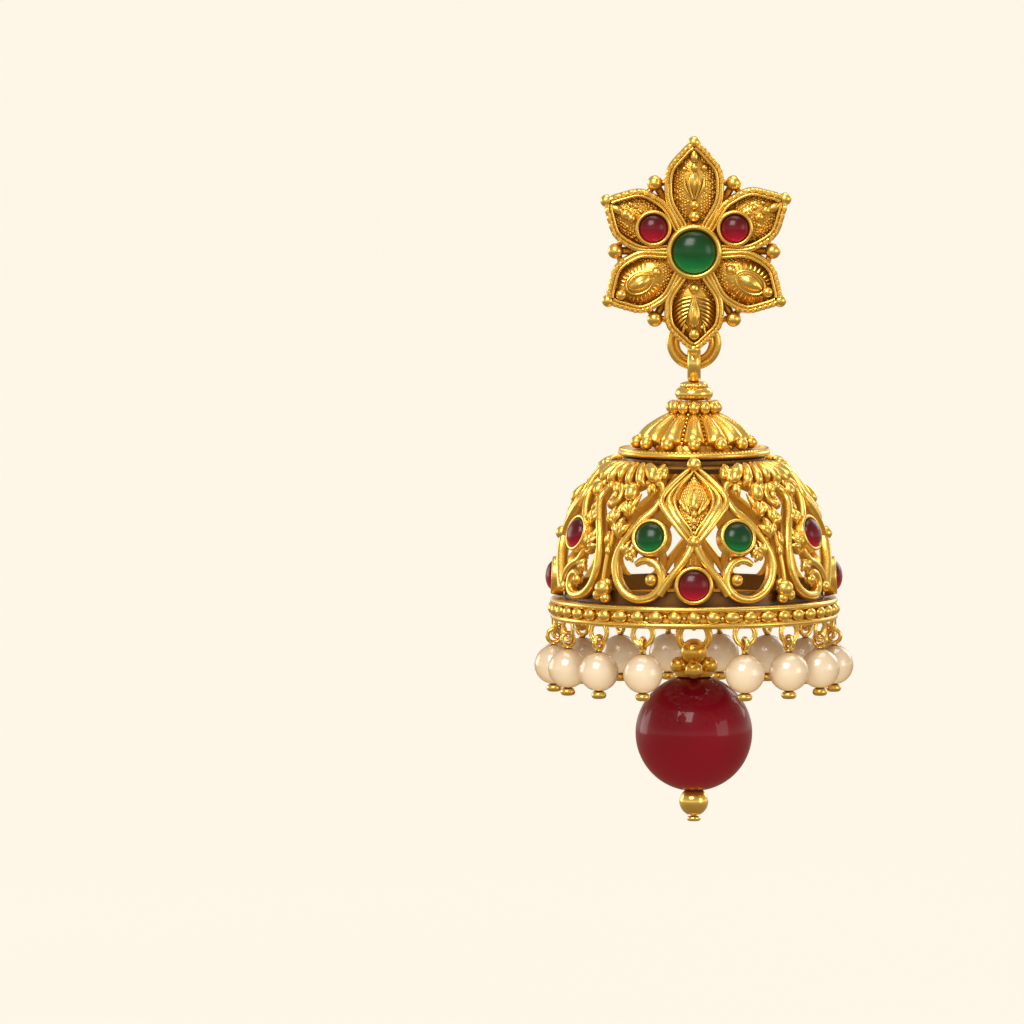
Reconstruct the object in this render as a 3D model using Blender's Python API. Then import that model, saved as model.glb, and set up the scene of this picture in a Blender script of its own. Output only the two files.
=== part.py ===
"""Jhumka earring: a flower stud, a pierced bell that swings from it, and a ruby bead drop.

Metres, +Z up, front towards -Y. The origin is the centre of the flower's back,
where the ear post leaves it.
"""

import math

import bmesh
import bpy
from mathutils import Matrix, Vector

# Flower stud
PETAL_REACH = 0.0098          # flower centre to the middle of a petal's tip ball
PETAL_ROOT = 0.0018           # flower centre to the start of a petal
PETAL_WIDTH = 0.0059
PETAL_RIM_WIDTH = 0.0008
PETAL_RIM_HEIGHT = 0.0021     # from the flower's back to the crest of a petal's rim
PETAL_FLOOR_HEIGHT = 0.0011
PETAL_TIP_BALL = 0.0013       # diameter
PETAL_BUD_LENGTH = 0.0034
PETAL_BUD_WIDTH = 0.0014
PETAL_BUD_HEIGHT = 0.0019
FLOWER_BEAD = 0.0016          # diameter of the granules between the petals
FLOWER_BEAD_REACH = 0.0080
CENTRE_BEZEL_DIAMETER = 0.0055
CENTRE_BEZEL_HEIGHT = 0.0029
CENTRE_STONE_DIAMETER = 0.0043
SIDE_STONE_DIAMETER = 0.0028
SIDE_STONE_REACH = 0.0047     # flower centre to the middle of a ruby
SIDE_BEZEL_HEIGHT = 0.0026
BACK_DISC_DIAMETER = 0.0080
BACK_DISC_THICKNESS = 0.0008
POST_DIAMETER = 0.0009
POST_LENGTH = 0.0110

# Ring below the flower, and the pin that hangs from it
STUD_RING_DIAMETER = 0.00547
STUD_RING_WIRE = 0.0013
STUD_RING_DROP = 0.0093       # flower centre to the middle of the ring
STUD_RING_BACK = 0.0013       # flower's back to the middle plane of the ring
STUD_LUG = 0.0016             # diameter of the lug that carries the ring
BAIL_DIAMETER = 0.0042
BAIL_WIRE = 0.0012
LINK_GAP = 0.0003             # play between two wires that hang in each other
FIT_GAP = 0.0003              # play between two pieces that are stacked on a pin
COLLAR_DIAMETER = 0.0038
COLLAR_HEIGHT = 0.0011
NECK_DIAMETER = 0.0029
NECK_HEIGHT = 0.0007
PIN_DIAMETER = 0.0008
PIN_STOP_DIAMETER = 0.0024
PIN_STOP_HEIGHT = 0.0007
PIN_LOOP_DIAMETER = 0.0023
PIN_LOOP_WIRE = 0.0005

# Fluted cap on top of the bell
CAP_HEIGHT = 0.0050           # granule ring to the top of the flange
CAP_TOP_DIAMETER = 0.0044
CAP_LOBES = 13
CAP_LOBE_DIAMETER = 0.0116    # over the ends of the lobes
CAP_BEAD = 0.0015
CAP_CROWN_BEAD = 0.0012
CAP_CROWN_CIRCLE = 0.0045     # diameter of the circle of small granules, one above each lobe
CAP_FLUTE = 0.16              # depth of the flutes at the lobes' ends, as a share of the radius
FLANGE_DIAMETER = 0.01526
FLANGE_THICKNESS = 0.0006

# Pierced bell
BELL_DIAMETER = 0.0269
BELL_HEIGHT = 0.0137          # top of the rim to the bell's shoulder
BELL_ROUNDNESS = 2.3          # 2 is an ellipse, more is squarer
BELL_SKIRT = 0.0005           # straight stretch above the rim
BELL_POLE = 0.01535           # height from there to the ellipse's pole
BELL_WALL = 0.0007
NECK_BAND = 0.14              # share of the height that the closed band below the cap takes
WIRE_WIDTH = 0.0009
WIRE_RELIEF = 0.00045         # how far the scroll wires stand out of the wall
LEAF_RIM_WIDTH = 0.0009
LEAF_RELIEF = 0.0006
LEAF_DEPTH = 0.87             # share of the wall's thickness that a leaf takes
SIDE_STEP = 0.045             # how much more of it a wire takes on the right half than the middle
STONE_DIAMETER = 0.0029
LOW_STONE_DIAMETER = 0.0030
BEZEL_WALL = 0.0003
BEZEL_HEIGHT = 0.0011         # how far a bezel stands out of the bell's wall
BEZEL_DEPTH = 0.6             # share of the wall's thickness that its floor takes
STONE_RISE = 1.6              # height of a stone as a share of its bezel's height
CENTRE_STONE_RISE = 1.9
STONE_GAP = 0.00012
BELL_BEAD = 0.0015
TOUCH_BEAD = 0.00105
RIM_OVERHANG = 0.00095        # how far the rim stands out of the bell's wall
RIM_HEIGHT = 0.0022
RIM_THICKNESS = 0.0014

# Pearls along the rim
HANGER_PLACES = 17            # the front place stays empty
EYE_DIAMETER = 0.0027
EYE_WIRE = 0.00054
EYE_SINK = 0.0008             # how far an eye goes up into the rim
EYE_ARC = 260                 # degrees of an eye's ring outside and just inside the rim
EYE_INSET = 0.00035           # rim's outer edge to the middle plane of its eyes
EYEPIN_LOOP = 0.00176
EYEPIN_WIRE = 0.0004
PEARL_DIAMETER = 0.00395
PEARL_HOLE = 0.0009
PEARL_SEAT = 0.00002          # play between a pearl's top and its loop
PEARL_END_DIAMETER = 0.00152
PEARL_END_HEIGHT = 0.00084

# Ruby bead drop
DROP_RING_DIAMETER = 0.0038
DROP_RING_WIRE = 0.0006
DROP_RING_LIFT = 0.0010       # how far the drop's hinge lies below the rim
DROP_BALL = 0.0027
DROP_CAP_BEAD = 0.0018
DROP_CAP_RISE = 0.0009        # bottom of the gold ball to the top of the ruby bead
DROP_CAP_WALL = 0.0004
STACK_GAP = 0.00015           # play between the drop's beads on their wire
DROP_CAP_LEANS = (12.5, 20, 12.5, 20)   # degrees off the drop's axis of the side, back and front granules
DROP_BEAD_DIAMETER = 0.0117
DROP_BEAD_HOLE = 0.0012
DROP_DIMPLE = 0.0021          # diameter of the dimple below the ruby bead
DROP_WIRE = 0.0006
DROP_END_BALL = 0.0029
DROP_TIP_DIAMETER = 0.0014
DROP_TIP_HEIGHT = 0.0005

# Facets
WIRE_SIDES = 5
LINK_SIDES = 10
BALL_SIDES = 8
CUP_SIDES = 10
PEARL_SIDES = 10
BEAD_SIDES = 14
RIM_SIDES = 2 * HANGER_PLACES
NECK_SIDES = 26

# Heights that follow from the sizes above, from the top down
RING_RADIUS = (STUD_RING_DIAMETER - STUD_RING_WIRE) / 2
HANG_Y = STUD_RING_BACK
HINGE_Z = -STUD_RING_DROP - RING_RADIUS
BAIL_RADIUS = (BAIL_DIAMETER - BAIL_WIRE) / 2
BAIL_Z = HINGE_Z + STUD_RING_WIRE / 2 + BAIL_WIRE / 2 + LINK_GAP - BAIL_RADIUS
COLLAR_TOP = BAIL_Z - BAIL_DIAMETER / 2 - NECK_HEIGHT / 2
CAP_TOP = COLLAR_TOP - COLLAR_HEIGHT - FIT_GAP
FLANGE_TOP = CAP_TOP - CAP_HEIGHT
FLANGE_BOTTOM = FLANGE_TOP - FLANGE_THICKNESS
BELL_TOP = FLANGE_BOTTOM - FIT_GAP
RIM_TOP = BELL_TOP - BELL_HEIGHT
RIM_BOTTOM = RIM_TOP - RIM_HEIGHT
PIN_STOP_TOP = BELL_TOP - BELL_WALL - FIT_GAP
PIN_LOOP_RADIUS = (PIN_LOOP_DIAMETER - PIN_LOOP_WIRE) / 2
DROP_HINGE_Z = RIM_BOTTOM - DROP_RING_LIFT
PIN_LOOP_Z = DROP_HINGE_Z + PIN_LOOP_RADIUS
RIM_DIAMETER = BELL_DIAMETER + 2 * RIM_OVERHANG
EYE_CIRCLE = RIM_DIAMETER - 2 * EYE_INSET
EYE_RADIUS = (EYE_DIAMETER - EYE_WIRE) / 2
EYE_Z = RIM_BOTTOM + EYE_SINK - EYE_DIAMETER / 2
EYEPIN_RADIUS = (EYEPIN_LOOP - EYEPIN_WIRE) / 2
EYEPIN_Z = EYE_Z - EYE_RADIUS
PEARL_TOP = EYEPIN_Z - EYEPIN_LOOP / 2 - PEARL_SEAT
PEARL_Z = PEARL_TOP - PEARL_DIAMETER / 2

# Petals, one row each: angle in degrees from +X, reach as a share, whether it holds a ruby
PETALS = [
    (90, 1.11, False),
    (30, 1.07, True),
    (150, 1.03, True),
    (210, 1.01, False),
    (330, 1.01, False),
    (270, 1.00, False),
]

# Outline of a petal: share of its length, share of its half width
PETAL_OUTLINE = [(0.0, 0.42), (0.14, 0.68), (0.36, 0.92), (0.56, 1.0),
                 (0.72, 0.90), (0.87, 0.56), (1.0, 0.16)]

# Four like quarters of the bell: angle of the middle, how much its pattern spreads sideways
QUARTERS = [(0, 0.0), (90, 0.018), (180, 0.0), (270, 0.018)]

# Pattern of a quarter's right half: degrees from its middle, share of the bell's height.
# The left half mirrors it.
LEAF_OUTLINE = [(0.6, 0.97), (7, 0.93), (13, 0.85), (17.5, 0.75),
                (16.5, 0.66), (11.5, 0.57), (5.5, 0.49), (0.6, 0.43)]
HEART_WIRE = [(35, 0.76), (31, 0.83), (24, 0.85), (18.5, 0.79), (19, 0.71),
              (26, 0.62), (34, 0.48), (37, 0.30), (34.5, 0.13), (27, 0.01),
              (18, 0.03), (13, 0.14), (14, 0.27), (20, 0.30), (22, 0.20)]
LEG_WIRE = [(-2, 0.46), (4.5, 0.32), (9.5, 0.20), (16, 0.05)]
LINK_WIRE = [(45, 0.90), (44.5, 0.72), (43.5, 0.50), (45, 0.28), (45, 0.0)]
# Route, name and depth of each wire as a share, so that no two wires' faces lie in one surface
BELL_WIRES = [(HEART_WIRE, "heart_wire", 0.93), (LEG_WIRE, "leg_wire", 0.80)]
TOP_BALL = (35.7, 0.75)
HEART_STONE = (19.3, 0.49)
TOUCH_BALL = (26.5, 0.583)    # joins a heart stone's bezel to the heart wire
LOW_STONE_HEIGHT = 0.155
LOW_PEG_HEIGHT = 0.015        # a granule between the low bezel and the rim


def clear_scene():
    for old in list(bpy.data.objects):
        bpy.data.objects.remove(old)


def material(name, colour, metallic, roughness):
    """A plain finish with one colour."""
    new = bpy.data.materials.new(name)
    new.use_nodes = True
    shader = new.node_tree.nodes["Principled BSDF"]
    shader.inputs["Base Color"].default_value = (*colour, 1.0)
    shader.inputs["Metallic"].default_value = metallic
    shader.inputs["Roughness"].default_value = roughness
    new.diffuse_color = (*colour, 1.0)
    return new


def finish(obj, finish_material, parent=None):
    """Shade a piece smooth between its sharp edges, colour it and hang it under its joint."""
    obj.data.materials.clear()
    obj.data.materials.append(finish_material)
    obj.data.shade_smooth()
    obj.data.set_sharp_from_angle(angle=math.radians(45))
    if parent is not None:
        obj.parent = parent
        obj.matrix_parent_inverse = parent.matrix_world.inverted()
    return obj


def to_object(mesh_code, name):
    """Turn a bmesh into an object with its faces pointing out."""
    bmesh.ops.recalc_face_normals(mesh_code, faces=mesh_code.faces)
    mesh = bpy.data.meshes.new(name)
    mesh_code.to_mesh(mesh)
    mesh_code.free()
    obj = bpy.data.objects.new(name, mesh)
    bpy.context.scene.collection.objects.link(obj)
    return obj


def loft(sections, name="loft", closed=False):
    """A skin through sections with the same number of points each."""
    made = bmesh.new()
    rings = [[made.verts.new(point) for point in section] for section in sections]
    count = len(rings[0])
    pairs = list(zip(rings, rings[1:]))
    if closed:
        pairs.append((rings[-1], rings[0]))
    for low, high in pairs:
        for i in range(count):
            j = (i + 1) % count
            made.faces.new((low[i], low[j], high[j], high[i]))
    if not closed:
        made.faces.new(rings[0])
        made.faces.new(rings[-1])
    return to_object(made, name)


def circle(radius, sides, z=0.0):
    """Points of a circle that lies flat at a height."""
    turn = [2 * math.pi * i / sides for i in range(sides)]
    return [Vector((radius * math.cos(a), radius * math.sin(a), z)) for a in turn]


def turned(profile, sides, name="turned", hollow=False):
    """A solid turned about Z from (radius, height) pairs. A hollow one closes on itself."""
    sections = [circle(radius, sides, z) for radius, z in profile]
    return loft(sections, name, closed=hollow)


def ball(diameter, place, height=None, sides=BALL_SIDES, name="ball"):
    """A granule, round or flattened, with its middle at a place."""
    made = bmesh.new()
    squash = Matrix.Diagonal((1, 1, (height or diameter) / diameter, 1))
    bmesh.ops.create_uvsphere(
        made, u_segments=sides, v_segments=max(4, sides // 2),
        radius=diameter / 2, matrix=Matrix.Translation(place) @ squash)
    return to_object(made, name)


def link(diameter, wire, place, plane, name="link", arc=360):
    """A round link of wire that stands in the XZ or YZ plane, open at its top by what its arc lacks."""
    sections = []
    radius = (diameter - wire) / 2
    steps = round(LINK_SIDES * arc / 360)
    for i in range(steps if arc == 360 else steps + 1):
        angle = math.radians(90 + (360 - arc) / 2 + arc * i / steps)
        out = Vector((0, math.cos(angle), math.sin(angle)))
        side = Vector((1, 0, 0))
        if plane == "XZ":
            out = Vector((math.cos(angle), 0, math.sin(angle)))
            side = Vector((0, 1, 0))
        section = []
        for k in range(WIRE_SIDES):
            around_wire = 2 * math.pi * k / WIRE_SIDES
            offset = out * math.cos(around_wire) + side * math.sin(around_wire)
            section.append(Vector(place) + out * radius + offset * wire / 2)
        sections.append(section)
    return loft(sections, name, closed=arc == 360)


def rod(diameter, top, bottom, sides=6, name="rod"):
    """An upright round rod."""
    return turned([(diameter / 2, bottom), (diameter / 2, top)], sides, name)


def moved(obj, matrix):
    """Put a new piece at its place, in its mesh."""
    obj.data.transform(matrix)
    if matrix.determinant() < 0:
        obj.data.flip_normals()
    return obj


def fused(name, parts):
    """One solid from soldered parts that overlap."""
    body = parts[0]
    group = bpy.data.collections.new(name + "_parts")
    for part in parts[1:]:
        group.objects.link(part)
    union = body.modifiers.new("solder", "BOOLEAN")
    union.operation = "UNION"
    union.operand_type = "COLLECTION"
    union.collection = group
    union.solver = "EXACT"
    shapes = bpy.context.evaluated_depsgraph_get()
    mesh = bpy.data.meshes.new_from_object(body.evaluated_get(shapes))
    for part in parts:
        bpy.data.objects.remove(part)
    bpy.data.collections.remove(group)
    tidy = bmesh.new()
    tidy.from_mesh(mesh)
    bmesh.ops.remove_doubles(tidy, verts=tidy.verts, dist=1e-6)
    bmesh.ops.dissolve_degenerate(tidy, edges=tidy.edges, dist=1e-6)
    bmesh.ops.dissolve_limit(tidy, angle_limit=math.radians(3), verts=tidy.verts, edges=tidy.edges)
    bmesh.ops.triangulate(tidy, faces=tidy.faces)
    tidy.to_mesh(mesh)
    tidy.free()
    mesh.name = name
    obj = bpy.data.objects.new(name, mesh)
    bpy.context.scene.collection.objects.link(obj)
    return obj


def cup(stone, wall, height, depth, matrix, name="bezel"):
    """A bezel: a closed cup whose floor is at z 0 and whose walls rise to a height."""
    inner = stone / 2 + STONE_GAP
    outer = inner + wall
    profile = [(outer, -depth), (outer, height), (inner, height), (inner, 0.0)]
    return moved(turned(profile, CUP_SIDES, name), matrix)


def cabochon(stone, height, matrix, name, lift=STONE_GAP):
    """A domed stone that lies just above the floor of its bezel."""
    rows = [(1.0, 0.0), (1.0, 0.42), (0.62, 1.0)]
    profile = [(stone / 2 * share, lift + (height - lift) * up) for share, up in rows]
    return moved(turned(profile, CUP_SIDES, name), matrix)


def facing(place, normal, up=Vector((0, 0, 1))):
    """A placement whose Z axis points along a normal."""
    z = normal.normalized()
    x = up.cross(z).normalized()
    y = z.cross(x)
    return Matrix.Translation(place) @ Matrix((x, y, z)).transposed().to_4x4()


# Flower stud: x and z of the flower lie in its own plane, and its height grows towards -Y
def flower_matrix(angle):
    """Petal frame: its length along X, its width along Y, its height along Z."""
    stand = Matrix(((1, 0, 0, 0), (0, 0, -1, 0), (0, 1, 0, 0), (0, 0, 0, 1)))
    return stand @ Matrix.Rotation(math.radians(angle), 4, "Z")


def petal(angle, reach):
    """A pointed petal with a raised rim around a sunk floor."""
    length = PETAL_REACH * reach - PETAL_ROOT
    sections = []
    for along, across in PETAL_OUTLINE:
        x = PETAL_ROOT + length * along
        half = PETAL_WIDTH / 2 * across
        crest = max(half - PETAL_RIM_WIDTH * 0.4, half * 0.75)
        foot = max(half - PETAL_RIM_WIDTH, half * 0.3)
        floor = PETAL_FLOOR_HEIGHT
        outline = [(-half, 0), (-crest, PETAL_RIM_HEIGHT), (-foot, floor),
                   (foot, floor), (crest, PETAL_RIM_HEIGHT), (half, 0)]
        sections.append([Vector((x, y, z)) for y, z in outline])
    return moved(loft(sections, "petal"), flower_matrix(angle))


def bud(angle, reach):
    """The raised bud in the middle of a petal."""
    middle = PETAL_ROOT + (PETAL_REACH * reach - PETAL_ROOT) * 0.5
    rows = [(-0.5, 0.25), (-0.2, 0.9), (0.1, 1.0), (0.5, 0.15)]
    sections = []
    for along, across in rows:
        x = middle + PETAL_BUD_LENGTH * along
        half = PETAL_BUD_WIDTH / 2 * across
        top = PETAL_FLOOR_HEIGHT + (PETAL_BUD_HEIGHT - PETAL_FLOOR_HEIGHT) * across
        bottom = PETAL_FLOOR_HEIGHT / 2
        sections.append([Vector((x, -half, bottom)), Vector((x, -half * 0.6, top)),
                         Vector((x, half * 0.6, top)), Vector((x, half, bottom))])
    return moved(loft(sections, "bud"), flower_matrix(angle))


def ruby_place(angle):
    """Where a petal's ruby sits: the floor of its bezel."""
    floor = SIDE_BEZEL_HEIGHT - BEZEL_HEIGHT
    return flower_matrix(angle) @ Matrix.Translation((SIDE_STONE_REACH, 0, floor))


def centre_place():
    return flower_matrix(0) @ Matrix.Translation((0, 0, CENTRE_BEZEL_HEIGHT - BEZEL_HEIGHT))


def flower_stud():
    """Petals, granules, bezels, ring and post, soldered on a back disc."""
    disc = rod(BACK_DISC_DIAMETER, BACK_DISC_THICKNESS, 0, 20, "disc")
    parts = [moved(disc, flower_matrix(0))]
    for angle, reach, holds_ruby in PETALS:
        parts.append(petal(angle, reach))
        tip = flower_matrix(angle) @ Vector((PETAL_REACH * reach, 0, PETAL_RIM_HEIGHT * 0.55))
        parts.append(ball(PETAL_TIP_BALL, tip, sides=6))
        if holds_ruby:
            depth = SIDE_BEZEL_HEIGHT - BEZEL_HEIGHT - PETAL_FLOOR_HEIGHT / 2
            parts.append(cup(SIDE_STONE_DIAMETER, BEZEL_WALL, BEZEL_HEIGHT, depth, ruby_place(angle)))
        else:
            parts.append(bud(angle, reach))
    for i in range(len(PETALS)):
        angle = math.radians(60 * i)
        spot = Vector((math.cos(angle), 0, math.sin(angle))) * FLOWER_BEAD_REACH
        parts.append(ball(FLOWER_BEAD, spot + Vector((0, -PETAL_RIM_HEIGHT * 0.45, 0)), sides=6))
        web = rod(PETAL_FLOOR_HEIGHT, FLOWER_BEAD_REACH, FLOWER_BEAD_REACH * 0.62, 4, "web")
        lean = Matrix.Rotation(math.pi / 2 - angle, 4, "Y")
        parts.append(moved(web, Matrix.Translation((0, -PETAL_FLOOR_HEIGHT * 0.6, 0)) @ lean))
    depth = CENTRE_BEZEL_HEIGHT - BEZEL_HEIGHT - BACK_DISC_THICKNESS / 2
    wall = (CENTRE_BEZEL_DIAMETER - CENTRE_STONE_DIAMETER) / 2 - STONE_GAP
    parts.append(cup(CENTRE_STONE_DIAMETER, wall, BEZEL_HEIGHT, depth, centre_place()))
    parts.append(link(STUD_RING_DIAMETER, STUD_RING_WIRE, (0, HANG_Y, -STUD_RING_DROP), "XZ"))
    lug = rod(STUD_LUG, PETAL_FLOOR_HEIGHT / 2, -STUD_RING_BACK, 8, "lug")
    ring_top = Matrix.Translation((0, 0, RING_RADIUS - STUD_RING_DROP))
    parts.append(moved(lug, ring_top @ flower_matrix(0)))
    post = rod(POST_DIAMETER, BACK_DISC_THICKNESS / 2, -POST_LENGTH, 8, "post")
    parts.append(moved(post, flower_matrix(0)))
    return fused("flower_stud", parts)


def hanging_pin():
    """The bail, its collars, and the pin that carries the cap, the bell and the drop."""
    collar_low = COLLAR_TOP - COLLAR_HEIGHT
    bulge = COLLAR_DIAMETER / 2
    profile = [(bulge * 0.6, collar_low), (bulge, collar_low + COLLAR_HEIGHT * 0.3),
               (bulge, collar_low + COLLAR_HEIGHT * 0.7), (bulge * 0.6, COLLAR_TOP)]
    loop_top = PIN_LOOP_Z + PIN_LOOP_RADIUS
    neck = [(NECK_DIAMETER / 2, COLLAR_TOP - COLLAR_HEIGHT / 2),
            (NECK_DIAMETER / 2, COLLAR_TOP + NECK_HEIGHT * 0.4),
            (NECK_DIAMETER / 3, COLLAR_TOP + NECK_HEIGHT)]
    parts = [
        rod(PIN_DIAMETER, COLLAR_TOP - COLLAR_HEIGHT / 2, loop_top, 8, "pin"),
        link(BAIL_DIAMETER, BAIL_WIRE, (0, 0, BAIL_Z), "YZ"),
        turned(profile, 12, "collar"),
        turned(neck, 12, "neck"),
        rod(PIN_STOP_DIAMETER, PIN_STOP_TOP, PIN_STOP_TOP - PIN_STOP_HEIGHT, 10, "stop"),
        link(PIN_LOOP_DIAMETER, PIN_LOOP_WIRE, (0, 0, PIN_LOOP_Z), "YZ"),
    ]
    made = fused("hanging_pin", parts)
    return moved(made, Matrix.Translation((0, HANG_Y, 0)))


def crown_cap():
    """The fluted cap with its flange, drilled for the pin."""
    hole = PIN_DIAMETER / 2 + FIT_GAP
    top = CAP_TOP_DIAMETER / 2
    lobe = CAP_LOBE_DIAMETER / 2
    flange = FLANGE_DIAMETER / 2
    crown = (CAP_CROWN_CIRCLE + CAP_CROWN_BEAD) / 2
    waist = CAP_TOP - CAP_CROWN_BEAD
    edge = FLANGE_TOP + CAP_BEAD * 0.35
    drop = waist - edge
    notch = CAP_CROWN_BEAD / 2 / crown
    # radius, height, depth of the notches between the lobes as a share of the radius
    rows = [
        (crown * 0.72, CAP_TOP, notch), (crown, CAP_TOP - CAP_CROWN_BEAD * 0.3, notch),
        (crown, CAP_TOP - CAP_CROWN_BEAD * 0.7, notch), (top, waist, 0.0),
        (top * 1.15, waist - drop * 0.3, CAP_FLUTE * 0.2),
        (lobe * 0.72, waist - drop * 0.62, CAP_FLUTE * 0.5),
        (lobe, edge, CAP_FLUTE), (lobe * 0.85, FLANGE_TOP, 0.0),
        (flange, FLANGE_TOP, 0.0), (flange, FLANGE_BOTTOM, 0.0),
        (hole, FLANGE_BOTTOM, 0.0), (hole, CAP_TOP, 0.0),
    ]
    sides = CAP_LOBES * 2
    sections = []
    for radius, z, depth in rows:
        ring = circle(radius, sides, z)
        for i in range(1, sides, 2):
            ring[i] = Vector((ring[i].x * (1 - depth), ring[i].y * (1 - depth), z))
        sections.append(ring)
    parts = [loft(sections, "skirt", closed=True)]
    for spot in circle(lobe, CAP_LOBES, FLANGE_TOP + CAP_BEAD * 0.4):
        parts.append(ball(CAP_BEAD, spot, sides=6))
    made = fused("crown_cap", parts)
    return moved(made, Matrix.Translation((0, HANG_Y, 0)) @ Matrix.Rotation(-math.pi / 2, 4, "Z"))


# Bell: a surface of revolution that the pattern lies on
def bell_radius(up):
    """Outer radius at a share of the bell's height above the rim."""
    along = (up * BELL_HEIGHT - BELL_SKIRT) / BELL_POLE
    along = min(max(along, 0.0), 0.98)
    return BELL_DIAMETER / 2 * (1 - along ** BELL_ROUNDNESS) ** (1 / BELL_ROUNDNESS)


def bell_point(degrees, up, lift=0.0):
    """A point at an angle from the front and a share of the height, lifted off the wall."""
    step = 0.01
    slope = (bell_radius(up + step) - bell_radius(up - step)) / (2 * step * BELL_HEIGHT)
    lean = math.hypot(1.0, slope)
    radius = bell_radius(up) + lift / lean
    z = RIM_TOP + BELL_HEIGHT * up - lift * slope / lean
    angle = math.radians(degrees)
    return Vector((radius * math.sin(angle), -radius * math.cos(angle), z))


def bell_normal(degrees, up):
    return (bell_point(degrees, up, BELL_WALL) - bell_point(degrees, up)).normalized()


def quarter_place(middle, spread, side, point):
    """The angle and height of a pattern point in one half of a quarter."""
    away, up = point
    away = away + spread * away * (45 - away)
    return middle + side * away, up


def bell_wire(places, name, depth):
    """A wire with a flat face that runs along the wall, its depth and relief scaled by a share."""
    centre = [bell_point(*place) for place in places]
    count = len(centre)
    sections = []
    for i, place in enumerate(places):
        before = centre[max(i - 1, 0)]
        after = centre[min(i + 1, count - 1)]
        normal = bell_normal(*place)
        side = (after - before).cross(normal).normalized() * WIRE_WIDTH / 2
        low = centre[i] - normal * BELL_WALL * depth
        high = centre[i] + normal * WIRE_RELIEF * depth
        sections.append([high - side, low, high + side])
    return loft(sections, name)


def leaf(middle, spread):
    """A quarter's pointed leaf: a plate with a raised rim."""
    sections = []
    for away, up in LEAF_OUTLINE:
        width = max(bell_radius(up) * math.radians(away), LEAF_RIM_WIDTH / 2)
        inner = max(width - LEAF_RIM_WIDTH, width * 0.2) / width
        half = max(away, math.degrees(LEAF_RIM_WIDTH / 2 / bell_radius(up)))
        floor = -BELL_WALL * LEAF_DEPTH
        low = [bell_point(*quarter_place(middle, spread, side, (half, up)), floor) for side in (-1, 1)]
        high = []
        corners = [(1, 1.0, LEAF_RELIEF), (1, inner, 0.0), (-1, inner, 0.0), (-1, 1.0, LEAF_RELIEF)]
        for side, share, lift in corners:
            high.append(bell_point(*quarter_place(middle, spread, side, (half * share, up)), lift))
        sections.append(low + high)
    return loft(sections, "leaf")


def stone_places():
    """Every stone of the bell: name, colour, angle, height, diameter."""
    rows = []
    names = {0: "front", 90: "right", 180: "back", 270: "left"}
    for middle, spread in QUARTERS:
        colour = "green" if spread == 0 else "ruby"
        for side, word in ((-1, "a"), (1, "b")):
            angle, up = quarter_place(middle, spread, side, HEART_STONE)
            rows.append((f"{names[middle]}_{colour}_stone_{word}", colour, angle, up, STONE_DIAMETER))
        rows.append((f"{names[middle]}_low_ruby", "ruby", middle, LOW_STONE_HEIGHT, LOW_STONE_DIAMETER))
    return rows


def stone_matrix(angle, up):
    normal = bell_normal(angle, up)
    return facing(bell_point(angle, up), normal)


def rim_eyes():
    """Angles from the front of the eyes that carry pearls."""
    return [360 * i / HANGER_PLACES for i in range(1, HANGER_PLACES)]


def around(degrees, radius, z):
    """A placement on a circle about the bell's axis, with -Y facing outwards."""
    angle = math.radians(degrees)
    return Matrix.Rotation(angle, 4, "Z") @ Matrix.Translation((0, -radius, z))


def bell():
    """Neck band, pierced pattern, bezels, rim and eyes, soldered into one piece."""
    hole = PIN_DIAMETER / 2 + FIT_GAP
    under = BELL_TOP - BELL_WALL
    shares = [0.995, 1.0 - NECK_BAND / 2, 1.0 - NECK_BAND]
    outer = [bell_point(0, up) for up in shares]
    inner = bell_point(0, shares[2], -BELL_WALL)
    profile = [(hole, BELL_TOP)] + [(-p.y, p.z) for p in outer]
    profile += [(-inner.y, inner.z), (-outer[0].y - BELL_WALL, under), (hole, under)]
    neck = turned(profile, NECK_SIDES, "neck_band", hollow=True)
    rim_out = RIM_DIAMETER / 2
    rim_in = rim_out - RIM_THICKNESS
    lip = RIM_HEIGHT * 0.22
    groove = rim_out - RIM_THICKNESS * 0.25
    rim = turned([(rim_in, RIM_BOTTOM), (rim_out, RIM_BOTTOM), (rim_out, RIM_BOTTOM + lip),
                  (groove, RIM_BOTTOM + RIM_HEIGHT * 0.5), (rim_out, RIM_TOP - lip),
                  (rim_out, RIM_TOP), (rim_in, RIM_TOP)], RIM_SIDES, "rim", hollow=True)
    parts = [neck, rim]
    for middle, spread in QUARTERS:
        parts.append(leaf(middle, spread))
        for side in (-1, 1):
            for table, word, depth in BELL_WIRES:
                route = [quarter_place(middle, spread, side, place) for place in table]
                parts.append(bell_wire(route, word, depth + SIDE_STEP * side))
            for place, size in ((TOP_BALL, BELL_BEAD), (TOUCH_BALL, TOUCH_BEAD)):
                spot = bell_point(*quarter_place(middle, spread, side, place), BELL_BEAD * 0.1)
                parts.append(ball(size, spot, sides=6))
        parts.append(bell_wire([(middle + away, up) for away, up in LINK_WIRE], "link_wire", 1.0))
        parts.append(ball(TOUCH_BEAD, bell_point(middle, LOW_PEG_HEIGHT), sides=6))
    for _, _, angle, up, diameter in stone_places():
        place = stone_matrix(angle, up)
        parts.append(cup(diameter, BEZEL_WALL, BEZEL_HEIGHT, BELL_WALL * BEZEL_DEPTH, place))
    for angle in rim_eyes():
        eye = link(EYE_DIAMETER, EYE_WIRE, (0, 0, 0), "XZ", "eye", EYE_ARC)
        parts.append(moved(eye, around(angle, EYE_CIRCLE / 2, EYE_Z)))
    made = fused("bell", parts)
    return moved(made, Matrix.Translation((0, HANG_Y, 0)))


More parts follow.
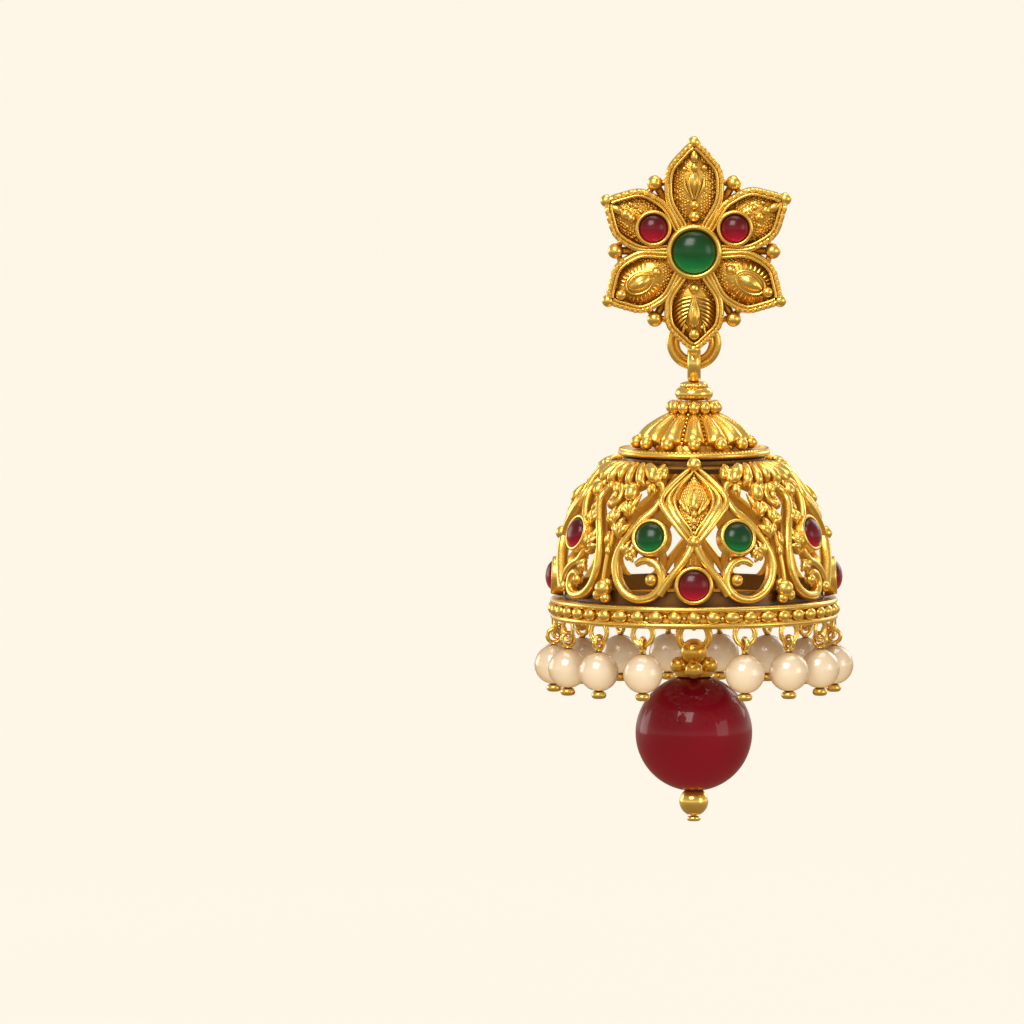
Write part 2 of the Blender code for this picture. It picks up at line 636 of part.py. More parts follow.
def sphere_rise(diameter, chord):
    """How far a sphere's middle stands from a round hole that it sits in."""
    return math.sqrt((diameter / 2) ** 2 - (chord / 2) ** 2)


def pearl_pin():
    """An eye pin: a loop, a straight wire and a flattened granule at its end."""
    end = PEARL_Z - sphere_rise(PEARL_DIAMETER, PEARL_HOLE) - PEARL_END_HEIGHT / 2
    wire = EYEPIN_WIRE / 2
    granule = PEARL_END_DIAMETER / 2
    half = PEARL_END_HEIGHT / 2
    profile = [(granule * 0.6, end - half), (granule, end), (wire, end + half),
               (wire, EYEPIN_Z - EYEPIN_RADIUS)]
    parts = [
        turned(profile, WIRE_SIDES, "wire"),
        link(EYEPIN_LOOP, EYEPIN_WIRE, (0, 0, EYEPIN_Z), "YZ"),
    ]
    return fused("pearl_pin", parts)


def drilled_ball(diameter, hole, z, sides, rows, name, dimple=0.0):
    """A round bead with a straight hole along Z, and a dimple below that the next bead sits in."""
    radius = diameter / 2
    start = math.asin(max(hole, dimple) / diameter)
    end = math.pi - math.asin(hole / diameter)
    profile = []
    if dimple > hole:
        profile.append((hole / 2, z - radius * math.cos(start) + (dimple - hole) / 2))
    for i in range(rows + 1):
        angle = start + (end - start) * i / rows
        profile.append((radius * math.sin(angle), z - radius * math.cos(angle)))
    return turned(profile, sides, name, hollow=True)


def drop_hanger():
    """The ring, the gold balls and the wire of the drop."""
    ring_radius = (DROP_RING_DIAMETER - DROP_RING_WIRE) / 2
    ring_z = DROP_HINGE_Z + DROP_RING_WIRE / 2 + PIN_LOOP_WIRE / 2 + LINK_GAP - ring_radius
    ball_z = ring_z - ring_radius
    bead_z = ball_z - DROP_BALL / 2 - DROP_CAP_RISE - DROP_BEAD_DIAMETER / 2
    cap_inner = DROP_BEAD_DIAMETER / 2 + STACK_GAP
    cap_outer = cap_inner + DROP_CAP_WALL * 1.2
    beads = cap_inner + DROP_CAP_BEAD / 2
    dimple_z = bead_z - sphere_rise(DROP_BEAD_DIAMETER, DROP_DIMPLE)
    end_z = dimple_z - sphere_rise(DROP_END_BALL, DROP_DIMPLE) - STACK_GAP
    tip_z = end_z - sphere_rise(DROP_END_BALL, DROP_BEAD_HOLE) - STACK_GAP - DROP_TIP_HEIGHT / 2
    parts = [
        rod(DROP_WIRE, ball_z, tip_z, 6, "wire"),
        link(DROP_RING_DIAMETER, DROP_RING_WIRE, (0, 0, ring_z), "XZ"),
        ball(DROP_BALL, Vector((0, 0, ball_z)), sides=10),
        ball(DROP_TIP_DIAMETER, Vector((0, 0, tip_z)), DROP_TIP_HEIGHT),
    ]
    profile = []
    for radius, leans in ((cap_outer, (0, 9, 18)), (cap_inner, (18, 9, 0))):
        for lean in leans:
            angle = math.radians(lean)
            reach = max(radius * math.sin(angle), DROP_WIRE / 4)
            profile.append((reach, bead_z + radius * math.cos(angle)))
    parts.append(turned(profile, 8, "cap", hollow=True))
    for i, lean in enumerate(DROP_CAP_LEANS):
        angle = math.radians(lean)
        spot = Matrix.Rotation(math.pi / 2 * i, 4, "Z") @ Vector((math.sin(angle), 0, math.cos(angle)))
        parts.append(ball(DROP_CAP_BEAD, spot * beads + Vector((0, 0, bead_z)), sides=6))
    hanger = fused("drop_hanger", parts)
    bead = drilled_ball(DROP_BEAD_DIAMETER, DROP_BEAD_HOLE, bead_z, BEAD_SIDES, 7, "drop_bead", DROP_DIMPLE)
    end = drilled_ball(DROP_END_BALL, DROP_BEAD_HOLE, end_z, LINK_SIDES, 4, "drop_end_ball")
    place = Matrix.Translation((0, HANG_Y, 0))
    return [moved(made, place) for made in (hanger, bead, end)]


def joint_empty(name, place, parent=None):
    """An empty on a joint's axis, which its pieces hang under."""
    empty = bpy.data.objects.new(name, None)
    bpy.context.scene.collection.objects.link(empty)
    empty.location = place
    empty.empty_display_size = 0.003
    if parent is not None:
        empty.parent = parent
        empty.location = Vector(place) - parent.location
    bpy.context.view_layer.update()
    return empty


def build():
    clear_scene()
    gold = (0.83, 0.55, 0.16)
    cream = (0.93, 0.86, 0.72)
    bell_joint = joint_empty("bell_hinge", (0, HANG_Y, HINGE_Z))
    drop_joint = joint_empty("drop_hinge", (0, HANG_Y, DROP_HINGE_Z), bell_joint)

    finish(flower_stud(), material("flower_gold", gold, 1.0, 0.3))
    green = (0.01, 0.16, 0.06)
    ruby = (0.26, 0.005, 0.03)
    rise = BEZEL_HEIGHT * CENTRE_STONE_RISE
    centre = cabochon(CENTRE_STONE_DIAMETER, rise, centre_place(), "centre_green_stone")
    finish(centre, material("centre_green", green, 0.0, 0.08))
    for angle, _, holds_ruby in PETALS:
        if holds_ruby:
            word = "right" if angle < 90 else "left"
            rise = BEZEL_HEIGHT * STONE_RISE
            stone = cabochon(SIDE_STONE_DIAMETER, rise, ruby_place(angle), f"flower_ruby_{word}")
            finish(stone, material(f"flower_ruby_{word}", ruby, 0.0, 0.08))

    finish(hanging_pin(), material("pin_gold", gold, 1.0, 0.3), bell_joint)
    finish(crown_cap(), material("cap_gold", gold, 1.0, 0.32), bell_joint)
    finish(bell(), material("bell_gold", gold, 1.0, 0.32), bell_joint)
    to_axis = Matrix.Translation((0, HANG_Y, 0))
    for name, colour, angle, up, diameter in stone_places():
        place = to_axis @ stone_matrix(angle, up)
        stone = cabochon(diameter, BEZEL_HEIGHT * STONE_RISE, place, name)
        tint = green if colour == "green" else ruby
        finish(stone, material(name, tint, 0.0, 0.08), bell_joint)

    pin = pearl_pin()
    pearl = drilled_ball(PEARL_DIAMETER, PEARL_HOLE, PEARL_Z, PEARL_SIDES, 4, "pearl")
    for number, angle in enumerate(rim_eyes(), start=1):
        place = to_axis @ around(angle, EYE_CIRCLE / 2, 0)
        pair = [(pin, "pearl_pin", gold, 1.0), (pearl, "pearl", cream, 0.0)]
        for pattern, word, colour, metallic in pair:
            copy = bpy.data.objects.new(f"{word}_{number:02d}", pattern.data.copy())
            bpy.context.scene.collection.objects.link(copy)
            moved(copy, place)
            finish(copy, material(copy.name, colour, metallic, 0.25), bell_joint)
    bpy.data.objects.remove(pin)
    bpy.data.objects.remove(pearl)

    hanger, bead, end = drop_hanger()
    finish(hanger, material("drop_gold", gold, 1.0, 0.28), drop_joint)
    finish(bead, material("drop_ruby", (0.22, 0.004, 0.012), 0.0, 0.06), drop_joint)
    finish(end, material("drop_end_gold", gold, 1.0, 0.25), drop_joint)


build()
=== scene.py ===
# %% [markdown]
# # A jhumka earring
#
# A jhumka is a small bell of pierced gold that hangs from a flower stud. This lesson dresses
# the earring's solid parts with smooth metal, granules, stones and pearls. Every size is in
# metres, +Z is up, and the front looks towards -Y.

# %% Load the frame
import math

import bpy
import numpy as np
from mathutils import Matrix, Vector


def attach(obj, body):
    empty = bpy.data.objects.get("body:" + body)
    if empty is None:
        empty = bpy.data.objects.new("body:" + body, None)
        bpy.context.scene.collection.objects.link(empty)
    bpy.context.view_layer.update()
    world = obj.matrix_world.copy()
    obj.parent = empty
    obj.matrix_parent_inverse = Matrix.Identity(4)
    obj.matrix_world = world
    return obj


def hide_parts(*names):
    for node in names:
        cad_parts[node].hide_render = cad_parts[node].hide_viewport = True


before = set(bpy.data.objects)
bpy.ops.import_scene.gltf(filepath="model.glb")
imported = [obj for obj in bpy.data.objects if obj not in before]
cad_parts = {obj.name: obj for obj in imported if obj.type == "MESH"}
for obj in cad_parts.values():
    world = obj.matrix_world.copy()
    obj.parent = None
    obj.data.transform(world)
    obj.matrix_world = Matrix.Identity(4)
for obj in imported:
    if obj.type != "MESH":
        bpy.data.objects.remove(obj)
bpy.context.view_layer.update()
MM = 0.001
HANG_Y = 1.3 * MM

# %% [markdown]
# ## Working habits
#
# Blender's operators act on whatever is selected, so each helper starts by letting go of
# everything. A piece that repeats is modelled once and copied, and each copy gets its own
# mesh with its place in the mesh, so that the object itself stays at the origin.

# %% Small helpers for every piece


def let_go():
    """Deselect everything, so that an operator can't touch an older piece."""
    bpy.ops.object.select_all(action="DESELECT")


def named(name):
    """Name the object that an operator has just made."""
    piece = bpy.context.active_object
    piece.name = name
    piece.data.name = name
    return piece


def pick(piece):
    """Make one piece the only selected and active one."""
    let_go()
    piece.select_set(True)
    bpy.context.view_layer.objects.active = piece
    return piece


def smooth(piece, degrees=40):
    """Shade smooth, with edges sharper than an angle left crisp."""
    pick(piece)
    bpy.ops.object.shade_smooth_by_angle(angle=math.radians(degrees))
    return piece


def mend(piece):
    """Merge doubled points and point every face outwards."""
    pick(piece)
    bpy.ops.object.mode_set(mode="EDIT")
    bpy.ops.mesh.select_all(action="SELECT")
    bpy.ops.mesh.remove_doubles(threshold=1e-6)
    bpy.ops.mesh.normals_make_consistent(inside=False)
    bpy.ops.object.mode_set(mode="OBJECT")
    return piece


def join(name, pieces):
    """Make one object from several."""
    pick(pieces[0])
    for piece in pieces:
        piece.select_set(True)
    bpy.ops.object.join()
    return named(name)


def put(piece, matrix):
    """Move a piece by moving its mesh."""
    piece.data.transform(matrix)
    if matrix.determinant() < 0:
        piece.data.flip_normals()
    return piece


def twin_of(piece):
    """A copy of a piece with its own mesh."""
    twin = piece.copy()
    twin.data = piece.data.copy()
    bpy.context.scene.collection.objects.link(twin)
    return twin


def copies(name, pattern, places):
    """One mesh that holds the pattern once at every place."""
    made = [put(twin_of(pattern), place) for place in places]
    bpy.data.objects.remove(pattern)
    return join(name, made)


def shift(x=0.0, y=0.0, z=0.0):
    """A move."""
    return Matrix.Translation((x, y, z))


def turn(degrees):
    """A turn about Z."""
    return Matrix.Rotation(math.radians(degrees), 4, "Z")


def grow(x=1.0, y=1.0, z=1.0):
    """A stretch along each axis, or a mirror where it is negative."""
    return Matrix.Diagonal((x, y, z, 1))


def in_mm(points):
    """Points given in millimetres, as metres."""
    return [tuple(c * MM for c in point) for point in points]


print("helpers ready")

# %% [markdown]
# ## Four ways to start a metal part
#
# A jeweller turns collars on a lathe, draws wire, melts scraps of gold into granules and
# bends wire round a mandrel into rings. The same four starts serve here: a profile that is
# extruded point by point and then spun, a curve with a bevel, a sphere, and a torus.

# %% Turned parts, granules, rings and drawn wire


def turned(name, profile, steps=48):
    """Draw a profile of (radius, height) points by extruding a vertex, then spin it about Z."""
    let_go()
    bpy.ops.mesh.primitive_plane_add(size=MM, location=(0, 0, 0))
    piece = named(name)
    bpy.ops.object.mode_set(mode="EDIT")
    bpy.ops.mesh.select_all(action="SELECT")
    bpy.ops.mesh.merge(type="CENTER")
    bpy.ops.transform.translate(value=(profile[0][0], 0, profile[0][1]))
    for before, after in zip(profile, profile[1:]):
        step = (after[0] - before[0], 0, after[1] - before[1])
        bpy.ops.mesh.extrude_region_move(TRANSFORM_OT_translate={"value": step})
    bpy.ops.mesh.select_all(action="SELECT")
    bpy.ops.mesh.spin(steps=steps, angle=2 * math.pi, center=(0, 0, 0), axis=(0, 0, 1))
    bpy.ops.object.mode_set(mode="OBJECT")
    return mend(piece)


def arc(x, z, radius, start, end, steps=5, tall=1.0):
    """Points of a rounded corner in a profile, from one angle to another."""
    points = []
    for i in range(steps + 1):
        angle = math.radians(start + (end - start) * i / steps)
        points.append((x + radius * math.cos(angle), z + radius * tall * math.sin(angle)))
    return points


def to_axis(profile):
    """A profile with a point on the axis added at each end."""
    return [(0, profile[0][1])] + profile + [(0, profile[-1][1])]


def granule(diameter, tall=1.0, sides=16, rings=10):
    """A ball of gold, as heat draws a scrap of metal into one."""
    let_go()
    bpy.ops.mesh.primitive_uv_sphere_add(segments=sides, ring_count=rings, radius=diameter / 2)
    piece = named("granule")
    return put(piece, grow(z=tall))


def ring(outer, wire, place, plane, steps=48, sides=14):
    """A closed ring of round wire that stands in the XZ or YZ plane, or lies in XY."""
    lean = {"XZ": (math.pi / 2, 0, 0), "YZ": (0, math.pi / 2, 0), "XY": (0, 0, 0)}[plane]
    let_go()
    bpy.ops.mesh.primitive_torus_add(
        major_radius=(outer - wire) / 2, minor_radius=wire / 2,
        major_segments=steps, minor_segments=sides, location=place, rotation=lean)
    piece = named("ring")
    bpy.ops.object.transform_apply(location=True, rotation=True, scale=True)
    return piece


def drawn(points, wire, tall=0.0, taper=None, steps=6, sides=3):
    """A wire along a smooth line through points, with closed ends. Tall adds straight sides."""
    let_go()
    bpy.ops.curve.primitive_bezier_curve_add(location=(0, 0, 0))
    piece = named("wire")
    line = piece.data
    line.dimensions = "3D"
    line.twist_mode = "Z_UP"
    line.resolution_u = steps
    line.bevel_depth = wire / 2
    line.bevel_resolution = sides
    line.extrude = tall / 2
    line.use_fill_caps = True
    spline = line.splines[0]
    spline.bezier_points.add(len(points) - 2)
    for i, (knot, point) in enumerate(zip(spline.bezier_points, points)):
        knot.co = point
        knot.handle_left_type = "AUTO"
        knot.handle_right_type = "AUTO"
        knot.radius = taper[i] if taper else 1.0
    bpy.ops.object.convert(target="MESH")
    return mend(bpy.context.active_object)


print("starts ready")

# %% [markdown]
# ## The bell's shape
#
# A maker saws the pattern out of flat sheet and then raises the sheet into a dome with a
# punch. The same order works here. Each part of the pattern is drawn flat, in degrees from
# its middle and in shares of the bell's height, and one function then domes the flat part.

# %% The bell's curve, and the punch that raises a flat part onto it
BELL_RADIUS = 13.45 * MM
BELL_HEIGHT = 13.7 * MM
BELL_POLE = 15.35 * MM
BELL_SKIRT = 0.5 * MM
BELL_ROUND = 2.3
RIM_TOP = -34.785 * MM
RIM_BOTTOM = -36.985 * MM
BELL_TOP = RIM_TOP + BELL_HEIGHT
ARC = math.radians(1) * BELL_RADIUS


def radius_at(up):
    """The bell's outer radius at a share of its height."""
    along = np.clip((np.asarray(up) * BELL_HEIGHT - BELL_SKIRT) / BELL_POLE, 0.0, 0.98)
    return BELL_RADIUS * (1 - along ** BELL_ROUND) ** (1 / BELL_ROUND)


def raised(degrees, up, lift):
    """Where points go: an angle from the front, a share of the height, a lift off the wall."""
    step = 0.01
    slope = (radius_at(up + step) - radius_at(up - step)) / (2 * step * BELL_HEIGHT)
    lean = np.hypot(1.0, slope)
    radius = radius_at(up) + lift / lean
    angle = np.radians(degrees)
    return np.stack([radius * np.sin(angle), HANG_Y - radius * np.cos(angle),
                     RIM_TOP + BELL_HEIGHT * up - lift * slope / lean], axis=-1)


def flat(degrees, up, lift=0.0):
    """A point of the flat drawing."""
    return Vector((degrees * ARC, up * BELL_HEIGHT, lift))


def domed(piece, middle=0.0):
    """Raise a flat part onto the bell, with its middle at an angle."""
    mesh = piece.data
    points = np.empty(len(mesh.vertices) * 3)
    mesh.vertices.foreach_get("co", points)
    points = points.reshape(-1, 3)
    there = raised(points[:, 0] / ARC + middle, points[:, 1] / BELL_HEIGHT, points[:, 2])
    mesh.vertices.foreach_set("co", there.ravel())
    mesh.update()
    return piece


def on_bell(degrees, up, lift=0.0):
    """A placement on the bell whose Z points out of the wall."""
    here = Vector(raised(np.float64(degrees), np.float64(up), lift))
    out = (Vector(raised(np.float64(degrees), np.float64(up), lift + MM)) - here).normalized()
    across = Vector((0, 0, 1)).cross(out).normalized()
    along = out.cross(across)
    return shift(*here) @ Matrix((across, along, out)).transposed().to_4x4()


print("bell radius at its foot and shoulder:", radius_at(0.0), radius_at(1.0))

# %% [markdown]
# ## Gold with a dark patina
#
# Antique gold is bright where it is rubbed and brown where polish never reaches. Ambient
# occlusion tells how deep a point lies, so it drives the patina, and a wider occlusion paints
# shade that darkens the gold inside the bell. A fine noise breaks up the shine as casting skin
# does, and a faint painted glow of its own colour keeps the shaded gold warm.
# A small class lets sums of sockets be written as plain sums.

# %% Shader sums


class Sum:
    """A socket that can be added to, multiplied and so on, which adds Math nodes."""

    def __init__(self, tree, socket):
        self.tree = tree
        self.socket = socket

    def math(self, operation, other, swap=False):
        """Add one Math node, with its two values swapped where the order counts."""
        node = self.tree.nodes.new("ShaderNodeMath")
        node.operation = operation
        pair = (other, self) if swap else (self, other)
        for slot, value in zip(node.inputs, pair):
            if isinstance(value, Sum):
                self.tree.links.new(value.socket, slot)
            else:
                slot.default_value = value
        return Sum(self.tree, node.outputs[0])

    def __add__(self, other):
        return self.math("ADD", other)

    def __radd__(self, other):
        return self.math("ADD", other)

    def __sub__(self, other):
        return self.math("SUBTRACT", other)

    def __rsub__(self, other):
        return self.math("SUBTRACT", other, swap=True)

    def __mul__(self, other):
        return self.math("MULTIPLY", other)

    def __rmul__(self, other):
        return self.math("MULTIPLY", other)


class Finish:
    """A material with one Principled shader, and one way to add any other node."""

    def __init__(self, name, **constants):
        self.material = bpy.data.materials.new(name)
        self.material.use_nodes = True
        self.tree = self.material.node_tree
        self.shader = self.tree.nodes["Principled BSDF"]
        for socket, value in constants.items():
            self.shader.inputs[socket.replace("_", " ")].default_value = value

    def node(self, kind, settings=None, output=0, **sockets):
        """Add a node: its settings first, then the values or links of its sockets."""
        new = self.tree.nodes.new("ShaderNode" + kind)
        for key, value in (settings or {}).items():
            if key == "stops":
                self.stops(new, value)
            else:
                setattr(new, key, value)
        for key, value in sockets.items():
            slot = self.slot(new, key)
            if isinstance(value, Sum):
                self.tree.links.new(value.socket, slot)
            else:
                slot.default_value = value
        return Sum(self.tree, new.outputs[output])

    @staticmethod
    def slot(node, key):
        """A socket by its name, or by its number as in i6."""
        if key[0] == "i" and key[1:].isdigit():
            return node.inputs[int(key[1:])]
        return node.inputs[key.replace("_", " ")]

    @staticmethod
    def stops(node, rows):
        """Set a colour ramp's stops."""
        ramp = node.color_ramp
        while len(ramp.elements) < len(rows):
            ramp.elements.new(0.5)
        for element, (place, colour) in zip(ramp.elements, rows):
            element.position = place
            element.color = colour

    def feed(self, socket, value):
        """Let a sum drive one of the shader's own sockets."""
        self.tree.links.new(value.socket, self.shader.inputs[socket])

    def mixed(self, share, low, high):
        """A colour between two colours."""
        return self.node("Mix", {"data_type": "RGBA"}, 2, i0=share, i6=low, i7=high)


def grain(finish, scale, detail=3.0):
    """Noise fixed to the metal, with features of about one over scale."""
    place = finish.node("TexCoord", output=3)
    return finish.node("TexNoise", Vector=place, Scale=scale, Detail=detail)


print("shader sums ready")

# %% [markdown]
# The antique gold is used on everything that is soldered: the flower, the cap and the bell.
# The bright gold is used on wire, rings and turned balls, which are polished after casting.
# A third gold, dark and dull, paints shade on the band under the cap and the low wall inside the bell.

# %% Three golds


def openness(finish, reach, low, high):
    """How open a point is to the air, from 0 in a recess to 1 on a crest."""
    sky = finish.node("AmbientOcclusion", {"samples": 6, "only_local": False}, 1, Distance=reach)
    return finish.node("MapRange", Value=sky, From_Min=low, From_Max=high)


def gold(name, stops, depth, rough, skin):
    """Gold that is bright on its crests, with a brown patina in its recesses, painted shade inside the
    bell and a faint painted glow.
    """
    finish = Finish(name, Metallic=1.0, Coat_Weight=0.8, Coat_Roughness=0.2, Emission_Strength=0.09)
    near = openness(finish, depth, 0.1, 0.75)
    # The wide occlusion darkens the gold inside the bell: painted shade.
    far = openness(finish, 22.0 * MM, 0.3, 0.75)
    patina_and_shade = near * (far * 0.6 + 0.4)
    cloud = grain(finish, 900.0, 2.0)
    pits = grain(finish, 5200.0, 4.0)
    tone = patina_and_shade * (0.8 + cloud * 0.4)
    colour = finish.node("ValToRGB", {"stops": stops}, Fac=tone)
    finish.feed("Base Color", colour)
    # Emission in the gold's own colour is a painted glow that lightens its shaded parts.
    finish.feed("Emission Color", colour)
    finish.feed("Roughness", rough + (1.0 - patina_and_shade) * 0.2 + (pits - 0.5) * 0.12)
    finish.feed("Normal", finish.node("Bump", Strength=skin, Distance=0.05 * MM, Height=pits))
    return finish.material


antique_gold = gold("antique_gold", [(0.0, (0.28, 0.095, 0.002, 1)), (0.42, (0.84, 0.42, 0.026, 1)),
                                     (1.0, (1.0, 0.66, 0.12, 1))], 1.3 * MM, 0.24, 0.35)
bright_gold = gold("bright_gold", [(0.0, (0.28, 0.10, 0.004, 1)), (0.45, (0.82, 0.44, 0.035, 1)),
                                   (1.0, (1.0, 0.69, 0.15, 1))], 1.0 * MM, 0.16, 0.05)
painted_shade_gold = gold("painted_shade_gold", [(0.0, (0.05, 0.018, 0.003, 1)), (0.45, (0.13, 0.055, 0.008, 1)),
                                 (1.0, (0.30, 0.15, 0.025, 1))], 1.0 * MM, 0.45, 0.4)
print("golds:", antique_gold.name, bright_gold.name, painted_shade_gold.name)

# %% [markdown]
# The stones are polished domes over a gold cup. Their light is painted: each one runs from a
# deep tint on top to a painted glow below, where light that has crossed a stone would come
# back, and glows faintly of its own. The bead is opaque glass with a soft gloss, and the pearls
# have a glossy skin with a painted golden sheen at the edge and painted amber shade where the
# bell shades it.

# %% Stones, bead and pearls


def glass(name, deep, body, painted_glow):
    """A polished stone: deep on top, with a painted glow below for the light that has crossed it."""
    finish = Finish(name, Roughness=0.3, Specular_IOR_Level=0.08, Coat_Weight=0.6,
                    Coat_Roughness=0.22, Emission_Strength=0.3)
    facing = finish.node("TexCoord", output=1)
    height = finish.node("SeparateXYZ", output=2, Vector=facing)
    cloud = grain(finish, 700.0, 1.0)
    # The lower half is painted lighter, as light that crossed the stone would light it.
    painted_light_level = height * -0.5 + 0.5 + (cloud - 0.5) * 0.12
    tint = finish.node("ValToRGB", {"stops": [(0.18, deep), (0.55, body), (0.88, painted_glow)]}, Fac=painted_light_level)
    finish.feed("Base Color", tint)
    # Emission in the same tint is a painted glow.
    finish.feed("Emission Color", tint)
    return finish.material


def bead_glass():
    """Opaque crimson with faint swirls."""
    finish = Finish("ruby_bead_glass", Roughness=0.4, Specular_IOR_Level=0.1,
                    Coat_Weight=0.4, Coat_Roughness=0.06)
    cloud = grain(finish, 120.0, 3.0)
    finish.feed("Base Color", finish.mixed(cloud, (0.145, 0.0, 0.003, 1), (0.20, 0.0, 0.011, 1)))
    return finish.material


def nacre():
    """Cream pearl with a painted golden sheen at its edge, and painted amber shade where the bell
    shades it.
    """
    finish = Finish("pearl_nacre", Roughness=0.3, Coat_Weight=1.0, Coat_Roughness=0.18,
                    Coat_IOR=1.9, Subsurface_Weight=0.15, Subsurface_Scale=0.8 * MM)
    # The golden edge is a painted sheen.
    edge = finish.node("LayerWeight", output=1, Blend=0.4)
    cloud = grain(finish, 420.0, 2.0)
    body = finish.mixed(cloud, (0.76, 0.62, 0.43, 1), (0.82, 0.69, 0.51, 1))
    sheen = finish.mixed(edge, body, (0.50, 0.28, 0.09, 1))
    # Amber where the bell hides the pearl from the air is painted shade.
    open_air = openness(finish, 9.0 * MM, 0.2, 0.6)
    finish.feed("Base Color", finish.mixed(open_air, (0.34, 0.17, 0.05, 1), sheen))
    return finish.material


emerald = glass("emerald_glass", deep=(0.003, 0.022, 0.004, 1), body=(0.001, 0.05, 0.009, 1),
                painted_glow=(0.0, 0.16, 0.035, 1))
garnet = glass("garnet_glass", deep=(0.05, 0.001, 0.003, 1), body=(0.125, 0.0, 0.006, 1),
               painted_glow=(0.32, 0.0, 0.018, 1))
bead_red = bead_glass()
pearl_skin = nacre()
print("stones:", emerald.name, garnet.name, bead_red.name, pearl_skin.name)

# %% Finish a piece and hang it on its body


def ready(piece, material, body, nodes=(), degrees=40):
    """Shade, colour and hang a finished piece, and hide the solids it stands for."""
    smooth(piece, degrees)
    piece.data.materials.clear()
    piece.data.materials.append(material)
    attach(piece, body)
    if nodes:
        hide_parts(*nodes)
    print(piece.name, "faces:", len(piece.data.polygons))
    return piece


# %% [markdown]
# ## Camera, floor and light
#
# The camera looks at the earring from a little above, from far off through a long lens. It
# pans until the earring sits right of the middle. Large soft lamps give gold its broad
# highlights, and darker air between the lamps gives it contrast. The floor glows faintly, so
# that it is as pale as the air at its far end.

# %% Camera
CAMERA_RISE = 4.0
CAMERA_DISTANCE = 2.0
LENS = 36 * CAMERA_DISTANCE / (102.4 * MM)
SPOT = Vector((0, 0, -22.7 * MM))
PAN_RIGHT = 18.2 * MM
PAN_UP = 3.5 * MM

rise = math.radians(CAMERA_RISE)
eye = SPOT + CAMERA_DISTANCE * Vector((0, -math.cos(rise), math.sin(rise)))
up = Vector((0, math.sin(rise), math.cos(rise)))
aim = SPOT + Vector((-PAN_RIGHT, 0, 0)) - up * PAN_UP
let_go()
bpy.ops.object.camera_add(location=eye, rotation=(aim - eye).to_track_quat("-Z", "Y").to_euler())
camera = bpy.context.active_object
camera.name = "camera"
camera.data.lens = LENS
camera.data.sensor_width = 36
camera.data.clip_start = 0.01
camera.data.clip_end = 100
bpy.context.scene.camera = camera
print("camera at", [round(c, 3) for c in eye])

# %% Floor and air
FLOOR_SIZE = 60
FLOOR_DROP = 0.35
CREAM = (0.98, 0.91, 0.79, 1)

let_go()
bpy.ops.mesh.primitive_plane_add(size=FLOOR_SIZE, location=(0, 0, -FLOOR_DROP))
floor = named("floor")
paper = Finish("pale_floor", Roughness=0.9, Specular_IOR_Level=0.1, Emission_Strength=1.0)
paper.shader.inputs["Emission Color"].default_value = (0.72, 0.695, 0.625, 1)
mottle = grain(paper, 3.0)
paper.feed("Base Color", paper.mixed(mottle, (0.62, 0.57, 0.49, 1), (0.65, 0.60, 0.52, 1)))
floor.data.materials.append(paper.material)
floor.visible_glossy = False

world = bpy.data.worlds.new("soft_air")
bpy.context.scene.world = world
bpy.context.scene.view_settings.view_transform = "Standard"
world.use_nodes = True
air = world.node_tree
sky = air.nodes["Background"]
way = air.nodes.new("ShaderNodeTexCoord")
split = air.nodes.new("ShaderNodeSeparateXYZ")
half = air.nodes.new("ShaderNodeMath")
half.operation = "MULTIPLY_ADD"
half.inputs[1].default_value = 0.5
half.inputs[2].default_value = 0.5
band = air.nodes.new("ShaderNodeValToRGB")
air.links.new(way.outputs["Generated"], split.inputs[0])
air.links.new(split.outputs[2], half.inputs[0])
air.links.new(half.outputs[0], band.inputs[0])
air.links.new(band.outputs[0], sky.inputs[0])
# The air is cream at the horizon and darker above and below, which gives gold its contrast
Finish.stops(band, [(0.0, (0.20, 0.14, 0.08, 1)), (0.3, (0.28, 0.20, 0.13, 1)),
                    (0.47, (0.44, 0.35, 0.25, 1)), (0.497, CREAM), (0.512, CREAM),
                    (0.59, (0.50, 0.44, 0.36, 1)), (0.75, (0.36, 0.33, 0.28, 1)),
                    (1.0, (0.42, 0.40, 0.37, 1))])
sky.inputs[1].default_value = 1.0
print("floor and air ready")

# %% Lamps


def lamp(name, place, size, radiance, tint=(1.0, 0.97, 0.92)):
    """A square soft box that faces the earring, as bright per area as asked."""
    place = Vector(place)
    let_go()
    bpy.ops.object.light_add(
        type="AREA", location=place, rotation=(SPOT - place).to_track_quat("-Z", "Y").to_euler())
    box = named(name)
    box.data.shape = "SQUARE"
    box.data.size = size
    box.data.energy = radiance * math.pi * size * size
    box.data.color = tint
    return box


lamp("key_box", (-0.32, -0.85, 0.72), 0.62, 7.6)
lamp("fill_box", (0.85, -0.50, 0.12), 0.45, 2.0)
lamp("top_box", (0.05, 0.1, 0.9), 0.6, 2.4)
lamp("back_box", (0.5, 0.7, 0.35), 0.5, 2.2)
lamp("back_left_box", (-0.7, 0.4, 0.1), 0.4, 2.2)
print("lamps ready")

# %% [markdown]
# ## Cabochons
#
# A cabochon is a stone with a domed, polished top and a flat back. It is turned here from a
# short wall and an arc. Each stone stays where its solid is, so the solid's middle gives the
# place and the wall's direction gives the tilt.

# %% Stones of the flower and the bell
BEZEL_HEIGHT = 0.85 * MM
STONE_HEIGHT = 1.45 * MM
STONE_FLOOR = 0.12 * MM


